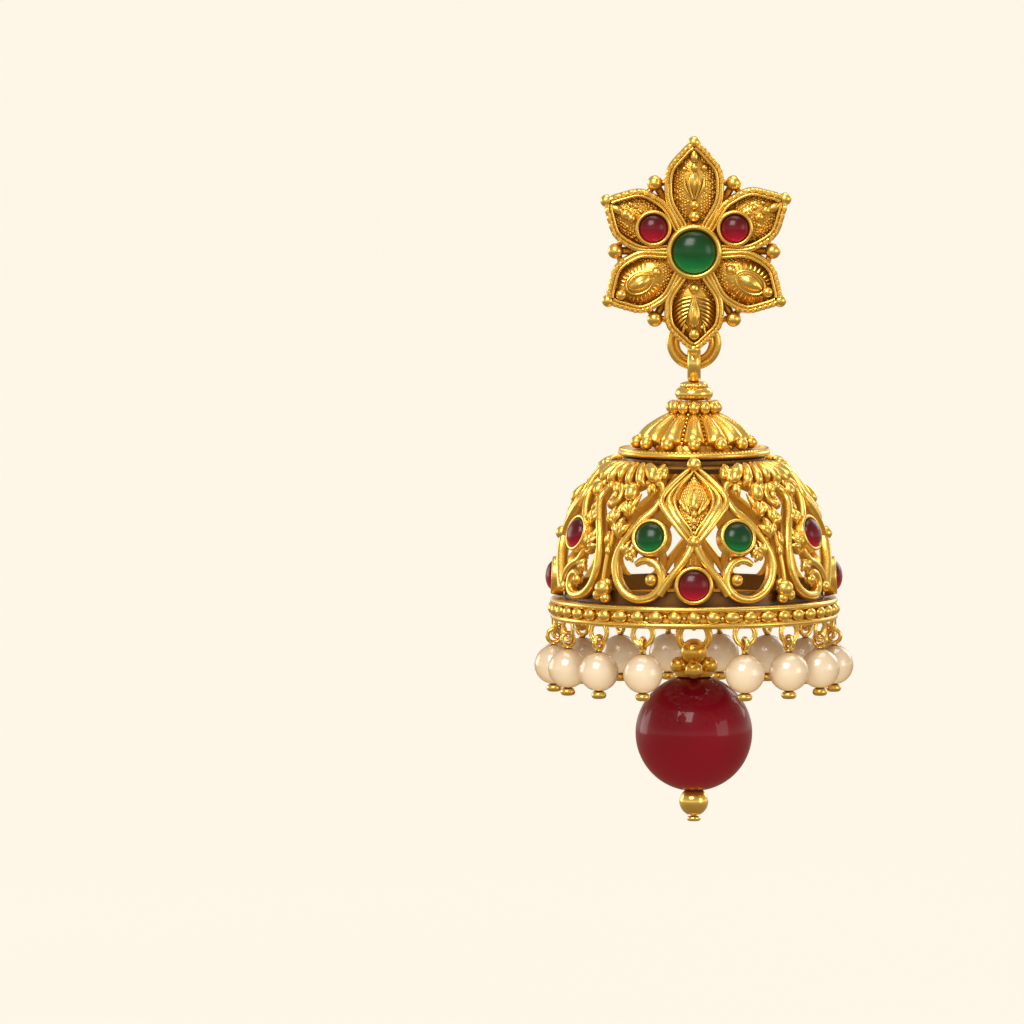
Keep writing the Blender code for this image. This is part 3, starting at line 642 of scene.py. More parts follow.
def cabochon(diameter, height):
    """A domed stone with its floor at z 0."""
    wall = height * 0.34
    profile = [(0, 0), (diameter / 2 - 0.1 * MM, 0)]
    profile += arc(diameter / 2 - 0.1 * MM, 0.1 * MM, 0.1 * MM, -90, 0, 2)
    profile += arc(0, wall, diameter / 2, 0, 90, 12, (height - wall) / (diameter / 2))
    return turned("cabochon", profile, 40)


def flower_frame(angle):
    """A petal's own frame: length along X, width along Y, height along Z."""
    stand = Matrix(((1, 0, 0, 0), (0, 0, -1, 0), (0, 1, 0, 0), (0, 0, 0, 1)))
    return stand @ turn(angle)


SIDE_SPREAD = 0.018
HEART_STONE = (19.3, 0.49)
LOW_STONE_UP = 0.155


def quarter_side(middle):
    """How much a quarter spreads the stones beside its middle."""
    return 0.0 if middle in (0, 180) else SIDE_SPREAD


def stone_places():
    """Every stone of the bell: node, material, angle, share, diameter."""
    words = {0: "front", 90: "right", 180: "back", 270: "left"}
    rows = []
    for middle, word in words.items():
        tint, look = ("green", emerald) if middle in (0, 180) else ("ruby", garnet)
        away = HEART_STONE[0] + quarter_side(middle) * HEART_STONE[0] * (45 - HEART_STONE[0])
        for side, letter in ((-1, "a"), (1, "b")):
            rows.append((f"{word}_{tint}_stone_{letter}", look, middle + side * away,
                         HEART_STONE[1], 2.9 * MM))
        rows.append((f"{word}_low_ruby", garnet, middle, LOW_STONE_UP, 3.0 * MM))
    return rows


for node, look, angle, up, diameter in stone_places():
    stone = cabochon(diameter, STONE_HEIGHT - STONE_FLOOR)
    put(stone, on_bell(angle, up, STONE_FLOOR))
    stone.name = node + "_cabochon"
    slot_name = "green_stone" if look is emerald else "ruby_stone"
    ready(stone, look, "bell", [node])

for node, angle, diameter, reach, floor_height, height, look in (
        ("centre_green_stone", 0, 4.3, 0.0, 1.8, 2.09, emerald),
        ("flower_ruby_right", 30, 2.8, 4.7, 1.5, 1.76, garnet),
        ("flower_ruby_left", 150, 2.8, 4.7, 1.5, 1.76, garnet)):
    stone = cabochon(diameter * MM, height * MM - STONE_FLOOR)
    put(stone, flower_frame(angle) @ shift(reach * MM, 0, floor_height * MM + STONE_FLOOR))
    stone.name = node + "_cabochon"
    slot_name = "green_stone" if look is emerald else "ruby_stone"
    ready(stone, look, "stud", [node])

# %% [markdown]
# ## Petals of the flower
#
# Each petal is a small tray: a plate with a rolled rim, a cushion that swells in the middle,
# tiny granules all over the cushion, and an ornament. The rim's outer half is milled into
# short blocks. A petal is built flat along +X and then turned to its place.

# %% A petal's outline and tray
PETAL_ROOT = 1.8 * MM
PETAL_REACH = 9.8 * MM
PETAL_HALF = 3.0 * MM
RIM_WIDE = 0.8 * MM
# A petal's half width along its length, both as shares
OUTLINE = [(0.0, 0.40), (0.06, 0.48), (0.13, 0.60), (0.226, 0.78), (0.32, 0.92),
           (0.41, 0.985), (0.5, 1.0), (0.57, 1.0), (0.65, 0.97), (0.72, 0.91), (0.79, 0.78),
           (0.85, 0.62), (0.91, 0.45), (0.96, 0.31), (1.0, 0.15)]
# Bands of the rim in mm: depth from the edge, wire, crest above the back, straight height
RIM_BANDS = [(0.40, 0.76, 1.75, 1.3), (0.30, 0.56, 2.04, 0.0), (0.66, 0.30, 2.10, 0.2)]


def half_width(share):
    """A petal's half width at a share of its length."""
    return float(np.interp(share, *zip(*OUTLINE))) * PETAL_HALF


def rim_line(length, depth, height, side):
    """The petal's edge on one side, moved in by a depth."""
    edge = [Vector((PETAL_ROOT + length * share, PETAL_HALF * across, height))
            for share, across in OUTLINE]
    line = []
    for i, point in enumerate(edge):
        ahead = edge[min(i + 1, len(edge) - 1)] - edge[max(i - 1, 0)]
        inwards = Vector((ahead.y, -ahead.x, 0)).normalized()
        spot = point + inwards * depth
        line.append(Vector((spot.x, max(spot.y, 0.02 * MM) * side, height)))
    return line


def rim(length):
    """The wall, the rolled outer band and the thin inner ridge."""
    parts = []
    for side in (-1, 1):
        for depth, wire, crest, tall in RIM_BANDS:
            line = rim_line(length, depth * MM, (crest - wire / 2 - tall / 2) * MM, side)
            parts.append(drawn(line, wire * MM, tall * MM, steps=3, sides=3))
    return parts


print("petal half width at its middle:", round(half_width(0.5) / MM, 2))

# %% [markdown]
# The granules of a cushion lie in staggered rows, each a little off its place, and leave out
# the spots where the ornament stands. The milled blocks sit on the outer band of the rim, on
# the half towards the tip.

# %% Granulation and milling
CUSHION_LOW = 0.75 * MM
CUSHION_HIGH = 1.75 * MM


def cushion_height(share, across):
    """Height of the swelling floor: low along the rim, high in the middle."""
    along = min(max((share - 0.02) / 0.93, 0.0), 1.0)
    swell = (1 - abs(across) ** 2.2) * math.sin(math.pi * along) ** 0.5
    return CUSHION_LOW + (CUSHION_HIGH - CUSHION_LOW) * swell


def cushion(length):
    """A grid that is drawn to the petal's outline, with a wall down to the plate."""
    let_go()
    bpy.ops.mesh.primitive_grid_add(x_subdivisions=30, y_subdivisions=14, size=2)
    piece = named("cushion")
    for vertex in piece.data.vertices:
        share = 0.02 + 0.93 * (vertex.co.x + 1) / 2
        across = vertex.co.y
        width = max(half_width(share) - 0.62 * MM, 0.05 * MM)
        vertex.co = (PETAL_ROOT + length * share, across * width, cushion_height(share, across))
    pick(piece)
    bpy.ops.object.mode_set(mode="EDIT")
    bpy.ops.mesh.select_all(action="SELECT")
    bpy.ops.mesh.extrude_region_move(TRANSFORM_OT_translate={"value": (0, 0, -CUSHION_LOW)})
    bpy.ops.object.mode_set(mode="OBJECT")
    for vertex in piece.data.vertices:
        if vertex.select:
            vertex.co.z = 0.15 * MM
    return mend(piece)


def granulation(length, taken):
    """Small granules all over the cushion, except inside the ellipses that are taken."""
    places = []
    for row in range(-8, 9):
        for column in range(32):
            wobble = (math.sin(row * 12.9 + column * 78.2) * 43.7) % 1.0
            other = (math.sin(row * 39.3 + column * 11.1) * 27.1) % 1.0
            x = PETAL_ROOT + (0.28 * (column + 0.5 * (row % 2)) + 0.6 + 0.12 * wobble) * MM
            y = (0.27 * row + 0.10 * other) * MM
            share = (x - PETAL_ROOT) / length
            room = half_width(share) - RIM_WIDE - 0.08 * MM
            blocked = any(
                ((x / MM - middle_x) / reach_x) ** 2 + ((y / MM - middle_y) / reach_y) ** 2 < 1
                for middle_x, middle_y, reach_x, reach_y in taken)
            if share > 0.94 or abs(y) > room or blocked:
                continue
            height = cushion_height(share, y / (half_width(share) - 0.62 * MM))
            size = 0.7 + 0.55 * wobble
            places.append(shift(x, y, height - 0.02 * MM) @ turn(180 * other)
                          @ grow(size * 1.15, size * 0.9, size * 0.8))
    return copies("granulation", granule(0.30 * MM, 1.0, 6, 4), places)


def milling(length, first, pitch):
    """Short blocks along the outer band of the rim, from a share of its length on."""
    let_go()
    bpy.ops.mesh.primitive_cube_add(size=1)
    block = named("block")
    pick(block)
    bevel = block.modifiers.new("soft_edges", "BEVEL")
    bevel.width = 0.26
    bevel.segments = 1
    bpy.ops.object.modifier_apply(modifier="soft_edges")
    places = []
    for side in (-1, 1):
        line = rim_line(length, 0.27 * MM, 0, side)
        walked = [0.0]
        for before, after in zip(line, line[1:]):
            walked.append(walked[-1] + (after - before).length)
        count = int(walked[-1] * (1 - first) / pitch)
        for i in range(count):
            wobble = (math.sin(i * 12.9 + side * 4.1 + length * 9000) * 43.7) % 1.0
            at = walked[-1] - pitch * (i + 0.75)
            x, y = (float(np.interp(at, walked, [p[axis] for p in line])) for axis in (0, 1))
            dx, dy = (float(np.interp(at + 0.1 * MM, walked, [p[axis] for p in line])) - base
                      for axis, base in ((0, x), (1, y)))
            size = Vector((pitch * (0.80 + 0.12 * wobble), (0.52 + 0.06 * wobble) * MM, 0.66 * MM))
            places.append(shift(x, y, 1.80 * MM) @ turn(math.degrees(math.atan2(dy, dx)))
                          @ grow(size.x, size.y, size.z))
    return copies("milling", block, places)


print("cushion from", CUSHION_LOW, "to", CUSHION_HIGH)

# %% [markdown]
# Five kinds of ornament stand on the cushions. The top petal has a fluted bud with balls and
# a teardrop, the two ruby petals have a row of lumps each, the lower side petals have a
# smooth almond in a ring of rays, and the bottom petal has a fluted bud with a fan of rays.
# Each function also gives the ellipses, in mm, that the granules leave free.

# %% Ornaments


def drop_shape(place, length, width, height, heading=0.0, sharp=0.35, both=0.0):
    """A teardrop that lies along X with its point ahead, or an almond with two points."""
    piece = granule(1.0, 1.0, 18, 12)
    for vertex in piece.data.vertices:
        along = vertex.co.x + 0.5
        pinch = (1 - sharp * along * along * 1.6) * (1 - both * 4 * vertex.co.x ** 2)
        vertex.co.y *= pinch
        vertex.co.z *= pinch
    return put(piece, shift(*place) @ turn(heading) @ grow(length, width, height))


def lumps(rows):
    """Balls and teardrops in mm: along, across, height, length, width, heading, sharpness."""
    made = []
    for x, y, z, length, width, heading, sharp in rows:
        made.append(drop_shape((x * MM, y * MM, z * MM), length * MM, width * MM,
                               0.9 * width * MM, heading, sharp))
    return made


def line_mm(points, wire, taper, steps=4):
    """A fine wire through points given in mm."""
    return drawn(in_mm(points), wire * MM, taper=taper, steps=steps, sides=2)


def flutes(foot, tip, spread, high, rows):
    """Ridges that run side by side from a foot to a tip and swell apart between them."""
    made = []
    for share in rows:
        start = (foot, spread * share * 0.25, high - 0.35)
        middle = (foot * 0.4 + tip * 0.6, spread * share, high * (1 - 0.12 * abs(share)))
        end = (tip, spread * share * 0.35, high - 0.3)
        made.append(line_mm([start, middle, end], 0.34, [0.5, 1.1, 0.5], 6))
    return made


def rays(middle, inner, outer, angles, wire, high):
    """Short ridges that fan out round a point, from one ellipse to another."""
    made = []
    for angle in angles:
        x, y = math.cos(math.radians(angle)), math.sin(math.radians(angle))
        near_end = (middle[0] + inner[0] * x, middle[1] + inner[1] * y, high)
        far_end = (middle[0] + outer[0] * x, middle[1] + outer[1] * y, high - 0.42)
        centre = (Vector(near_end) + Vector(far_end)) / 2 + Vector((0, 0, 0.06))
        made.append(line_mm([near_end, centre, far_end], wire, [0.6, 1, 0.7], 2))
    return made


def top_ornament():
    """A fluted bud with a teardrop at its tip and balls at its foot."""
    parts = lumps([(9.55, 0, 1.75, 1.4, 0.95, 0, 0.3), (8.42, 0, 1.9, 0.95, 0.72, 0, 0.1),
                   (8.35, -1.0, 1.6, 0.75, 0.72, 0, 0), (8.25, 0.95, 1.55, 0.62, 0.6, 0, 0),
                   (4.64, 0, 1.75, 1.0, 1.0, 0, 0), (3.5, 0, 1.8, 1.15, 1.15, 0, 0)])
    parts.append(drop_shape((6.6 * MM, 0, 1.75 * MM), 2.9 * MM, 1.5 * MM, 1.1 * MM, 180, 0.5))
    parts += flutes(5.25, 7.9, 0.5, 2.3, (-1, 0, 1))
    for side in (-1, 1):
        sepal = [(5.2, 0.2 * side, 1.75), (6.3, 0.85 * side, 1.8), (7.3, 1.0 * side, 1.75)]
        parts.append(line_mm(sepal, 0.36, [0.5, 1, 0.5]))
    return parts, [(6.6, 0, 1.75, 1.0), (8.4, 0, 0.6, 0.5), (8.3, 1, 0.45, 0.45),
                   (8.35, -1, 0.5, 0.5), (4.2, 0, 1.4, 0.65)]


def right_ruby_ornament():
    """A row of lumps that bends down a little, beyond the stone."""
    parts = lumps([(9.2, -0.16, 1.7, 1.55, 1.05, 0, 0.3), (8.25, -0.02, 1.85, 0.9, 0.95, 0, 0),
                   (7.35, -0.25, 1.9, 1.0, 1.0, 0, 0), (8.35, 0.78, 1.55, 0.55, 0.5, 30, 0),
                   (7.4, 0.8, 1.7, 0.6, 0.5, 0, 0), (6.6, 0.55, 1.75, 0.5, 0.45, 0, 0),
                   (6.9, -1.0, 1.6, 0.55, 0.5, 0, 0)])
    return parts, [(8.3, -0.1, 1.5, 0.6), (4.7, 0, 1.9, 1.9)]


def left_ruby_ornament():
    """A row of lumps that bends up a little, beyond the stone."""
    parts = lumps([(8.85, 0.2, 1.7, 1.5, 1.0, 0, 0.3), (7.8, 0.2, 1.9, 1.1, 1.12, 0, 0),
                   (7.1, 0.25, 1.9, 0.9, 0.95, 0, 0), (7.9, -0.9, 1.6, 0.55, 0.5, 0, 0),
                   (7.3, -1.0, 1.65, 0.5, 0.5, 0, 0), (6.6, -0.8, 1.7, 0.45, 0.4, 0, 0),
                   (7.0, 1.2, 1.5, 0.45, 0.4, 0, 0)])
    return parts, [(8.1, 0.2, 1.6, 0.65), (4.7, 0, 1.9, 1.9)]


def almond_ornament(x, y, length, root, tip):
    """A smooth almond with a ridge, in a ring of short rays, between two balls."""
    parts = [drop_shape((x * MM, y * MM, 1.75 * MM), length * MM, 1.6 * MM, 1.25 * MM,
                        sharp=0.05, both=0.32)]
    ridge = [(x - length * 0.44, y, 1.9), (x, y + 0.05, 2.3), (x + length * 0.44, y, 1.9)]
    parts.append(line_mm(ridge, 0.24, [0.5, 1, 0.5], 5))
    loop = [(x + length * 0.56 * math.cos(a * math.pi / 6), y + 1.03 * math.sin(a * math.pi / 6),
             1.68 - 0.1 * math.sin(a * math.pi / 6) ** 2) for a in range(13)]
    parts.append(line_mm(loop, 0.24, [1] * 13))
    angles = [a for a in range(20, 341, 13) if not 160 < a < 200]
    parts += rays((x, y), (length * 0.64, 1.22), (length * 0.64 + 0.55, 1.95), angles, 0.27, 1.62)
    parts += lumps([(*root, 1.8, 1.08, 1.05, 0, 0), (*tip, 1.75, 1.15, 1.12, 0, 0),
                    (tip[0] + 0.45, tip[1] - 0.75, 1.3, 0.5, 0.5, 0, 0)])
    return parts, [(x, y, length * 0.5 + 0.95, 2.05), (*root, 0.6, 0.6), (*tip, 0.7, 0.7)]


def fan_ornament():
    """A fluted bud over a fan of rays that widens towards the tip."""
    parts = [drop_shape((6.15 * MM, 0, 1.75 * MM), 3.0 * MM, 1.5 * MM, 1.2 * MM, 180, 0.5)]
    parts += flutes(4.7, 7.5, 0.42, 2.3, (-1, 0.1, 1))
    parts += lumps([(3.72, 0, 1.85, 1.05, 1.05, 0, 0), (8.3, 0, 1.75, 1.2, 1.15, 0, 0),
                    (7.6, 0.85, 1.6, 0.55, 0.5, 60, 0), (7.6, -0.85, 1.6, 0.55, 0.5, -60, 0)])
    for side in (-1, 1):
        for i in range(9):
            start = 4.55 + 0.38 * i
            lean = 0.35 + 0.06 * i
            out = 0.28 + 0.085 * i
            far = max(half_width((start + lean + 0.5 - 1.8) / 8.0) / MM - 0.85, out + 0.3)
            ray = [(start, out * side, 1.85), (start + lean * 0.6, (out + far) / 2 * side, 1.72),
                   (start + lean + 0.5, far * side, 1.05)]
            parts.append(line_mm(ray, 0.27, [0.7, 1.1, 0.6], 3))
    return parts, [(6.3, 0, 2.6, 2.2)]


print("ornaments ready")

# %% All six petals
# Angle, reach as a share of the usual one, and ornament of each petal
PETALS = [(90, 1.11, top_ornament()),
          (30, 1.07, right_ruby_ornament()),
          (150, 1.03, left_ruby_ornament()),
          (210, 1.01, almond_ornament(6.27, 0.0, 2.6, (4.32, -0.1), (8.5, 0.1))),
          (330, 1.01, almond_ornament(6.4, 0.1, 2.85, (4.1, 0.25), (8.4, 0.15))),
          (270, 1.00, fan_ornament())]


def petal(angle, reach, ornament):
    """One petal as a single mesh, with coarser milling on the two that carry stones."""
    length = PETAL_REACH * reach - PETAL_ROOT
    parts, taken = ornament
    parts = rim(length) + [cushion(length), granulation(length, taken)] + parts
    coarse = angle in (30, 150)
    parts.append(milling(length, 0.42 if coarse else 0.5, (0.8 if coarse else 0.52) * MM))
    parts += lumps([((PETAL_ROOT + length) / MM, 0, 1.45, 1.28, 1.28, 0, 0)])
    return put(join("petal", parts), flower_frame(angle))


petals = [petal(*row) for row in PETALS]
print("petals:", len(petals), "faces:", sum(len(piece.data.polygons) for piece in petals))

# %% [markdown]
# ## The flower's back, bezels and ring
#
# Behind the petals a disc carries everything, with the post that goes through the ear. A
# bezel is a short tube whose lip is rubbed over the stone. A round granule sits between each
# two petals on a thin tie, and a ring behind the bottom petal carries the bell.

# %% Bezels


def bezel(inner, outer, height, foot):
    """A short tube with a rounded lip, its floor at z 0."""
    lip = (outer - inner) / 2
    profile = [(inner, 0.05 * MM)] + arc(inner + lip, height - lip, lip, 180, 0, 8)
    profile += [(outer * 1.02, height * 0.3), (outer * 1.06, 0), (outer * 1.06, foot),
                (0, foot), (0, 0.05 * MM), (inner, 0.05 * MM)]
    return turned("bezel", profile, 40)


flower_parts = list(petals)
centre_cup = bezel(2.2 * MM, 2.75 * MM, 1.1 * MM, -1.4 * MM)
flower_parts.append(put(centre_cup, flower_frame(0) @ shift(z=1.8 * MM)))
skirt = ring(6.0 * MM, 0.5 * MM, (0, 0, 1.35 * MM), "XY")
flower_parts.append(put(skirt, flower_frame(0)))
for angle in (30, 150):
    cup = bezel(1.43 * MM, 1.82 * MM, 1.1 * MM, -1.0 * MM)
    flower_parts.append(put(cup, flower_frame(angle) @ shift(4.7 * MM, 0, 1.5 * MM)))
print("flower parts:", len(flower_parts))

# %% Disc, post, granules between the petals, and the ring
disc_edge = arc(3.8 * MM, 0.2 * MM, 0.2 * MM, -90, 0, 3)
disc = turned("disc", [(0, 0)] + disc_edge + [(4.0 * MM, 0.8 * MM), (0, 0.8 * MM), (0, 0)], 48)
flower_parts.append(put(disc, flower_frame(0)))
post_tip = arc(0.0, -10.6 * MM, 0.45 * MM, 0, -90, 4, 0.9)
post = turned("post", [(0, 0.4 * MM), (0.45 * MM, 0.4 * MM)] + post_tip, 24)
flower_parts.append(put(post, flower_frame(0)))
for i in range(6):
    spot = flower_frame(60 * i)
    bead = put(granule(1.56 * MM, 1.0, 24, 16), spot @ shift(7.85 * MM, 0, 1.0 * MM))
    tie = drawn(in_mm([(7.3, -1.35, 0.75), (7.55, 0, 0.75), (7.3, 1.35, 0.75)]), 0.6 * MM)
    web = drawn(in_mm([(4.6, 0, 0.5), (6.0, 0, 0.5), (7.6, 0, 0.6)]), 0.8 * MM)
    flower_parts += [bead, put(tie, spot), put(web, spot)]
flower_parts.append(ring(5.47 * MM, 0.86 * MM, (0, HANG_Y, -9.3 * MM), "XZ", 56, 16))
flower_parts.append(ring(4.10 * MM, 0.62 * MM, (0, HANG_Y - 0.12 * MM, -9.3 * MM), "XZ", 56, 12))
flower_parts.append(ring(4.45 * MM, 0.74 * MM, (0, HANG_Y + 0.28 * MM, -9.3 * MM), "XZ", 56, 12))
lug = turned("lug", in_mm([(0, 0.55), (0.8, 0.55), (0.8, -1.1), (0.6, -1.3), (0, -1.3)]), 24)
flower_parts.append(put(lug, shift(z=-7.215 * MM) @ flower_frame(0)))
flower = join("flower_of_gold", flower_parts)
ready(flower, antique_gold, "stud", ["flower_stud"])

# %% [markdown]
# ## The pin
#
# One pin carries everything below the flower. Its bail hangs in the flower's ring, two
# collars sit on the cap, and the pin runs on through the cap and the bell to a small loop
# from which the red bead hangs.

# %% Bail, collars and pin
BAIL_Z = -11.335 * MM
COLLAR_TOP = -13.785 * MM
bail = put(ring(4.2 * MM, 1.2 * MM, (0, 0, BAIL_Z), "YZ", 44, 16), grow(x=1.12))
pin_parts = [bail]
collar = arc(1.35 * MM, COLLAR_TOP - 0.6 * MM, 0.55 * MM, -90, 90, 10, 1.12)
pin_parts.append(turned("collar", to_axis(collar), 48))
neck_ring = arc(1.0 * MM, COLLAR_TOP + 0.2 * MM, 0.36 * MM, -90, 90, 8)
neck_ring += [(0.7 * MM, COLLAR_TOP + 0.62 * MM), (0, COLLAR_TOP + 0.75 * MM)]
pin_parts.append(turned("neck", [(0, neck_ring[0][1])] + neck_ring, 40))
knobs = [turn(20 * i) @ shift(1.22 * MM, 0, COLLAR_TOP + 0.2 * MM) for i in range(18)]
pin_parts.append(copies("knobs", granule(0.42 * MM, 1.25, 8, 6), knobs))
rod = [(0, -36.2 * MM), (0.4 * MM, -36.2 * MM), (0.4 * MM, -14.5 * MM), (0, -14.5 * MM)]
pin_parts.append(turned("rod", rod, 20))
stop = arc(0.95 * MM, -22.43 * MM, 0.35 * MM, -90, 90, 6)
pin_parts.append(turned("stop", to_axis(stop), 32))
pin_parts.append(ring(2.3 * MM, 0.5 * MM, (0, 0, -37.085 * MM), "YZ", 32, 12))
pin = put(join("pin_with_bail", pin_parts), shift(y=HANG_Y))
ready(pin, bright_gold, "bell", ["hanging_pin"])

# %% [markdown]
# ## The fluted cap
#
# The cap is cast: thirteen plump lobes run down from a ring of small granules, and each ends
# in a granule that rests on a flat flange. One lobe is a ball that is drawn out along the
# cap's side, and it is copied round. Fine beads follow the flange's edge.

# %% Lobes, granules and flange
CAP_TOP = -15.185 * MM
FLANGE_TOP = -19.9 * MM
FLANGE_BOTTOM = -20.55 * MM
LOBES = 13
lobe_turn = 360 / LOBES
# Middle line of a lobe, in mm from the axis and up, with the lobe's height there
LOBE = [(1.7, -16.3, 0.0), (2.1, -16.55, 0.42), (2.75, -17.15, 0.76), (3.4, -17.8, 1.02),
        (3.95, -18.35, 1.2), (4.35, -18.75, 1.22), (4.75, -19.15, 1.12), (5.2, -19.55, 0.0)]


def pear():
    """A ball that is drawn out along the lobe's middle line."""
    lobe = granule(1.0, 1.0, 20, 16)
    steps = np.linspace(0, 1, len(LOBE))
    for vertex in lobe.data.vertices:
        x, y, z = vertex.co.z, vertex.co.y, vertex.co.x
        along = math.acos(max(-1.0, min(1.0, -2 * x))) / math.pi
        out, up, tall = (float(np.interp(along, steps, [row[i] for row in LOBE])) for i in range(3))
        wide = min(1.1 * tall, 0.243 * out)
        round_it = math.hypot(y, z) or 1.0
        lean = np.interp(along, [0, 1], [0.55, 1.1])
        side = tall * z / round_it
        place = (out + side * math.sin(lean), wide * y / round_it, up + side * math.cos(lean))
        vertex.co = Vector(place) * MM
    return mend(lobe)


lobe = pear()
around_lobes = [turn(-90 + lobe_turn * i) for i in range(LOBES)]
between = [turn(-90 + lobe_turn * (i + 0.5)) for i in range(LOBES)]
cap_parts = [copies("lobes", lobe, around_lobes)]
# The seam between two lobes is a row of tiny granules
seam_places = []
for way_round in between:
    for i in range(9):
        x = np.interp(i, [0, 3, 8], [2.35, 3.6, 5.45])
        z = np.interp(i, [0, 3, 8], [-16.45, -17.55, -19.5])
        seam_places.append(way_round @ shift(x * MM, 0, z * MM))
cap_parts.append(copies("seams", granule(0.36 * MM, 1.0, 6, 4), seam_places))
lobe_end = shift(5.75 * MM, 0, FLANGE_TOP + 0.68 * MM)
cap_parts.append(copies("lobe_ends", granule(1.3 * MM, 1.0, 18, 12),
                        [way_round @ lobe_end for way_round in around_lobes]))
crown_bead = shift(2.25 * MM, 0, CAP_TOP - 0.55 * MM)
cap_parts.append(copies("crown_beads", granule(1.16 * MM, 1.15, 16, 10),
                        [way_round @ crown_bead for way_round in around_lobes]))
body = in_mm([(0.7, -15.3), (1.9, -15.22), (2.05, -15.9), (2.0, -16.4), (2.5, -16.8), (3.5, -17.7),
              (4.4, -18.6), (4.9, -19.4), (5.0, -19.92), (7.2, -19.92)])
body += arc(7.32 * MM, -20.235 * MM, 0.31 * MM, 90, -90, 6)
body += [(0.7 * MM, FLANGE_BOTTOM), (0.7 * MM, -15.3 * MM)]
cap_parts.append(turned("cap_body", body, 78))
FLANGE_BEADS = 104
milled = [turn(360 * i / FLANGE_BEADS) @ shift(7.36 * MM, 0, -19.99 * MM)
          for i in range(FLANGE_BEADS)]
cap_parts.append(copies("flange_beads", granule(0.44 * MM, 1.0, 6, 4), milled))
cap = put(join("fluted_cap", cap_parts), shift(y=HANG_Y))
ready(cap, antique_gold, "bell", ["crown_cap"])

# %% [markdown]
# ## The pierced bell
#
# The bell's pattern repeats in quarters. The front and back quarters have a pair of hearts
# round green stones, and the side quarters have long scrolls round red ones. Every quarter
# has a pointed leaf in its middle. The right half is drawn flat and mirrored, the quarter is
# copied, and each copy is domed to its own angle.

# %% Routes of the scroll wires, in degrees from a quarter's middle and shares of height
HEART = [(17.2, 0.765), (20, 0.688), (24.7, 0.619), (29.2, 0.537), (33.1, 0.44), (35.5, 0.342),
         (35.5, 0.246), (33, 0.137), (27.8, 0.062), (21.6, 0.049), (16.2, 0.095), (13.7, 0.182),
         (14.8, 0.265), (18.2, 0.322), (22.6, 0.330), (26.0, 0.300)]
LEG = [(0.6, 0.45), (1.6, 0.41), (3.8, 0.342), (7.3, 0.262), (10.9, 0.182), (13.2, 0.122),
       (14.6, 0.085)]
HOOK = [(16.9, 0.765), (17.3, 0.835), (21.6, 0.874), (28, 0.875), (32.8, 0.845)]
SCROLL = [(41.5, 0.74), (45.8, 0.728), (48.8, 0.775), (47.3, 0.822), (42.5, 0.842), (36.8, 0.828),
          (34.2, 0.772), (36.9, 0.668), (41.5, 0.55), (43.7, 0.443), (44.3, 0.334), (43.3, 0.223),
          (39.1, 0.107), (30.7, 0.049), (24.5, 0.077), (23.6, 0.161), (28.0, 0.215), (31.5, 0.19)]
SCROLL_STEM = [(17.0, 0.77), (21, 0.70), (27, 0.60), (31.5, 0.50), (33.0, 0.40), (30.5, 0.32),
               (25, 0.28), (19, 0.22), (15, 0.13), (16, 0.06)]
SIDE_HOOK = [(16.9, 0.765), (17.3, 0.835), (21.6, 0.874), (27, 0.87), (31.5, 0.83)]
LEAF_EDGE = [(0.4, 0.992), (4.3, 0.956), (9.1, 0.905), (13.6, 0.845), (16.4, 0.795), (17.3, 0.755),
             (16.6, 0.715), (13.2, 0.653), (9.6, 0.592), (5.8, 0.518), (1.5, 0.44)]
LEAF_FIELD = [(0.2, 0.945), (1.4, 0.925), (5.4, 0.873), (7.8, 0.826), (8.8, 0.785), (9.0, 0.75),
              (8.5, 0.712), (6.6, 0.662), (4.0, 0.607), (1.6, 0.56), (0.3, 0.52)]
WIRE = 0.9 * MM
WIRE_TALL = 0.35 * MM
WIRE_LIFT = -0.12 * MM


def flat_wire(route, wire=WIRE, tall=WIRE_TALL, lift=WIRE_LIFT, taper=None, steps=6):
    """A wire of the flat drawing."""
    return drawn([flat(away, up, lift) for away, up in route], wire, tall, taper, steps)


def mirrored(piece):
    """The other half of a pair, across the quarter's middle."""
    return put(twin_of(piece), grow(x=-1))


def width_at(route, up):
    """How far a closed leaf shape reaches sideways, in degrees, at a share of the height."""
    rows = sorted((row[1], row[0]) for row in route)
    return float(np.interp(up, *zip(*rows), left=0.0, right=0.0))


def between_edges(share):
    """The line that runs at a share of the way from the leaf's edge to its field."""
    return [(a[0] + (b[0] - a[0]) * share, a[1] + (b[1] - a[1]) * share)
            for a, b in zip(LEAF_EDGE, LEAF_FIELD)]


print("scroll points:", len(HEART), len(SCROLL))

# %% [markdown]
# A pointed leaf fills the middle of each quarter. Its rim has three ridges that narrow to the
# ends. The floor is stippled, and carries a bud between small wings over a row of balls.

# %% The pointed leaf
# Ridges of the rim: share of the way inwards, wire and lift in mm, and taper
RIDGES = [(0.12, 0.62, 0.46, [0.6, 0.7, 0.9, 1, 1.1, 1.15, 1.15, 1.1, 1, 0.9, 0.7]),
          (0.55, 0.85, 0.42, [0.2, 0.3, 0.4, 0.6, 0.8, 1.0, 1.2, 1.3, 1.2, 0.8, 0.4]),
          (0.93, 0.3, 0.38, [0.8, 0.8, 0.9, 1, 1, 1, 1, 1, 0.9, 0.8, 0.6])]
# Wings of the bud: degrees, share, length in mm and heading
WINGS = [(3.4, 0.70, 1.6, 62), (5.4, 0.715, 1.4, 50), (6.8, 0.74, 1.0, 42)]
LEAF_LOW = 0.45
LEAF_HIGH = 0.985
# Inner share of the plate's half that is the domed floor
FLOOR_PART = 0.6
STIPPLE_PITCH = 0.26 * MM


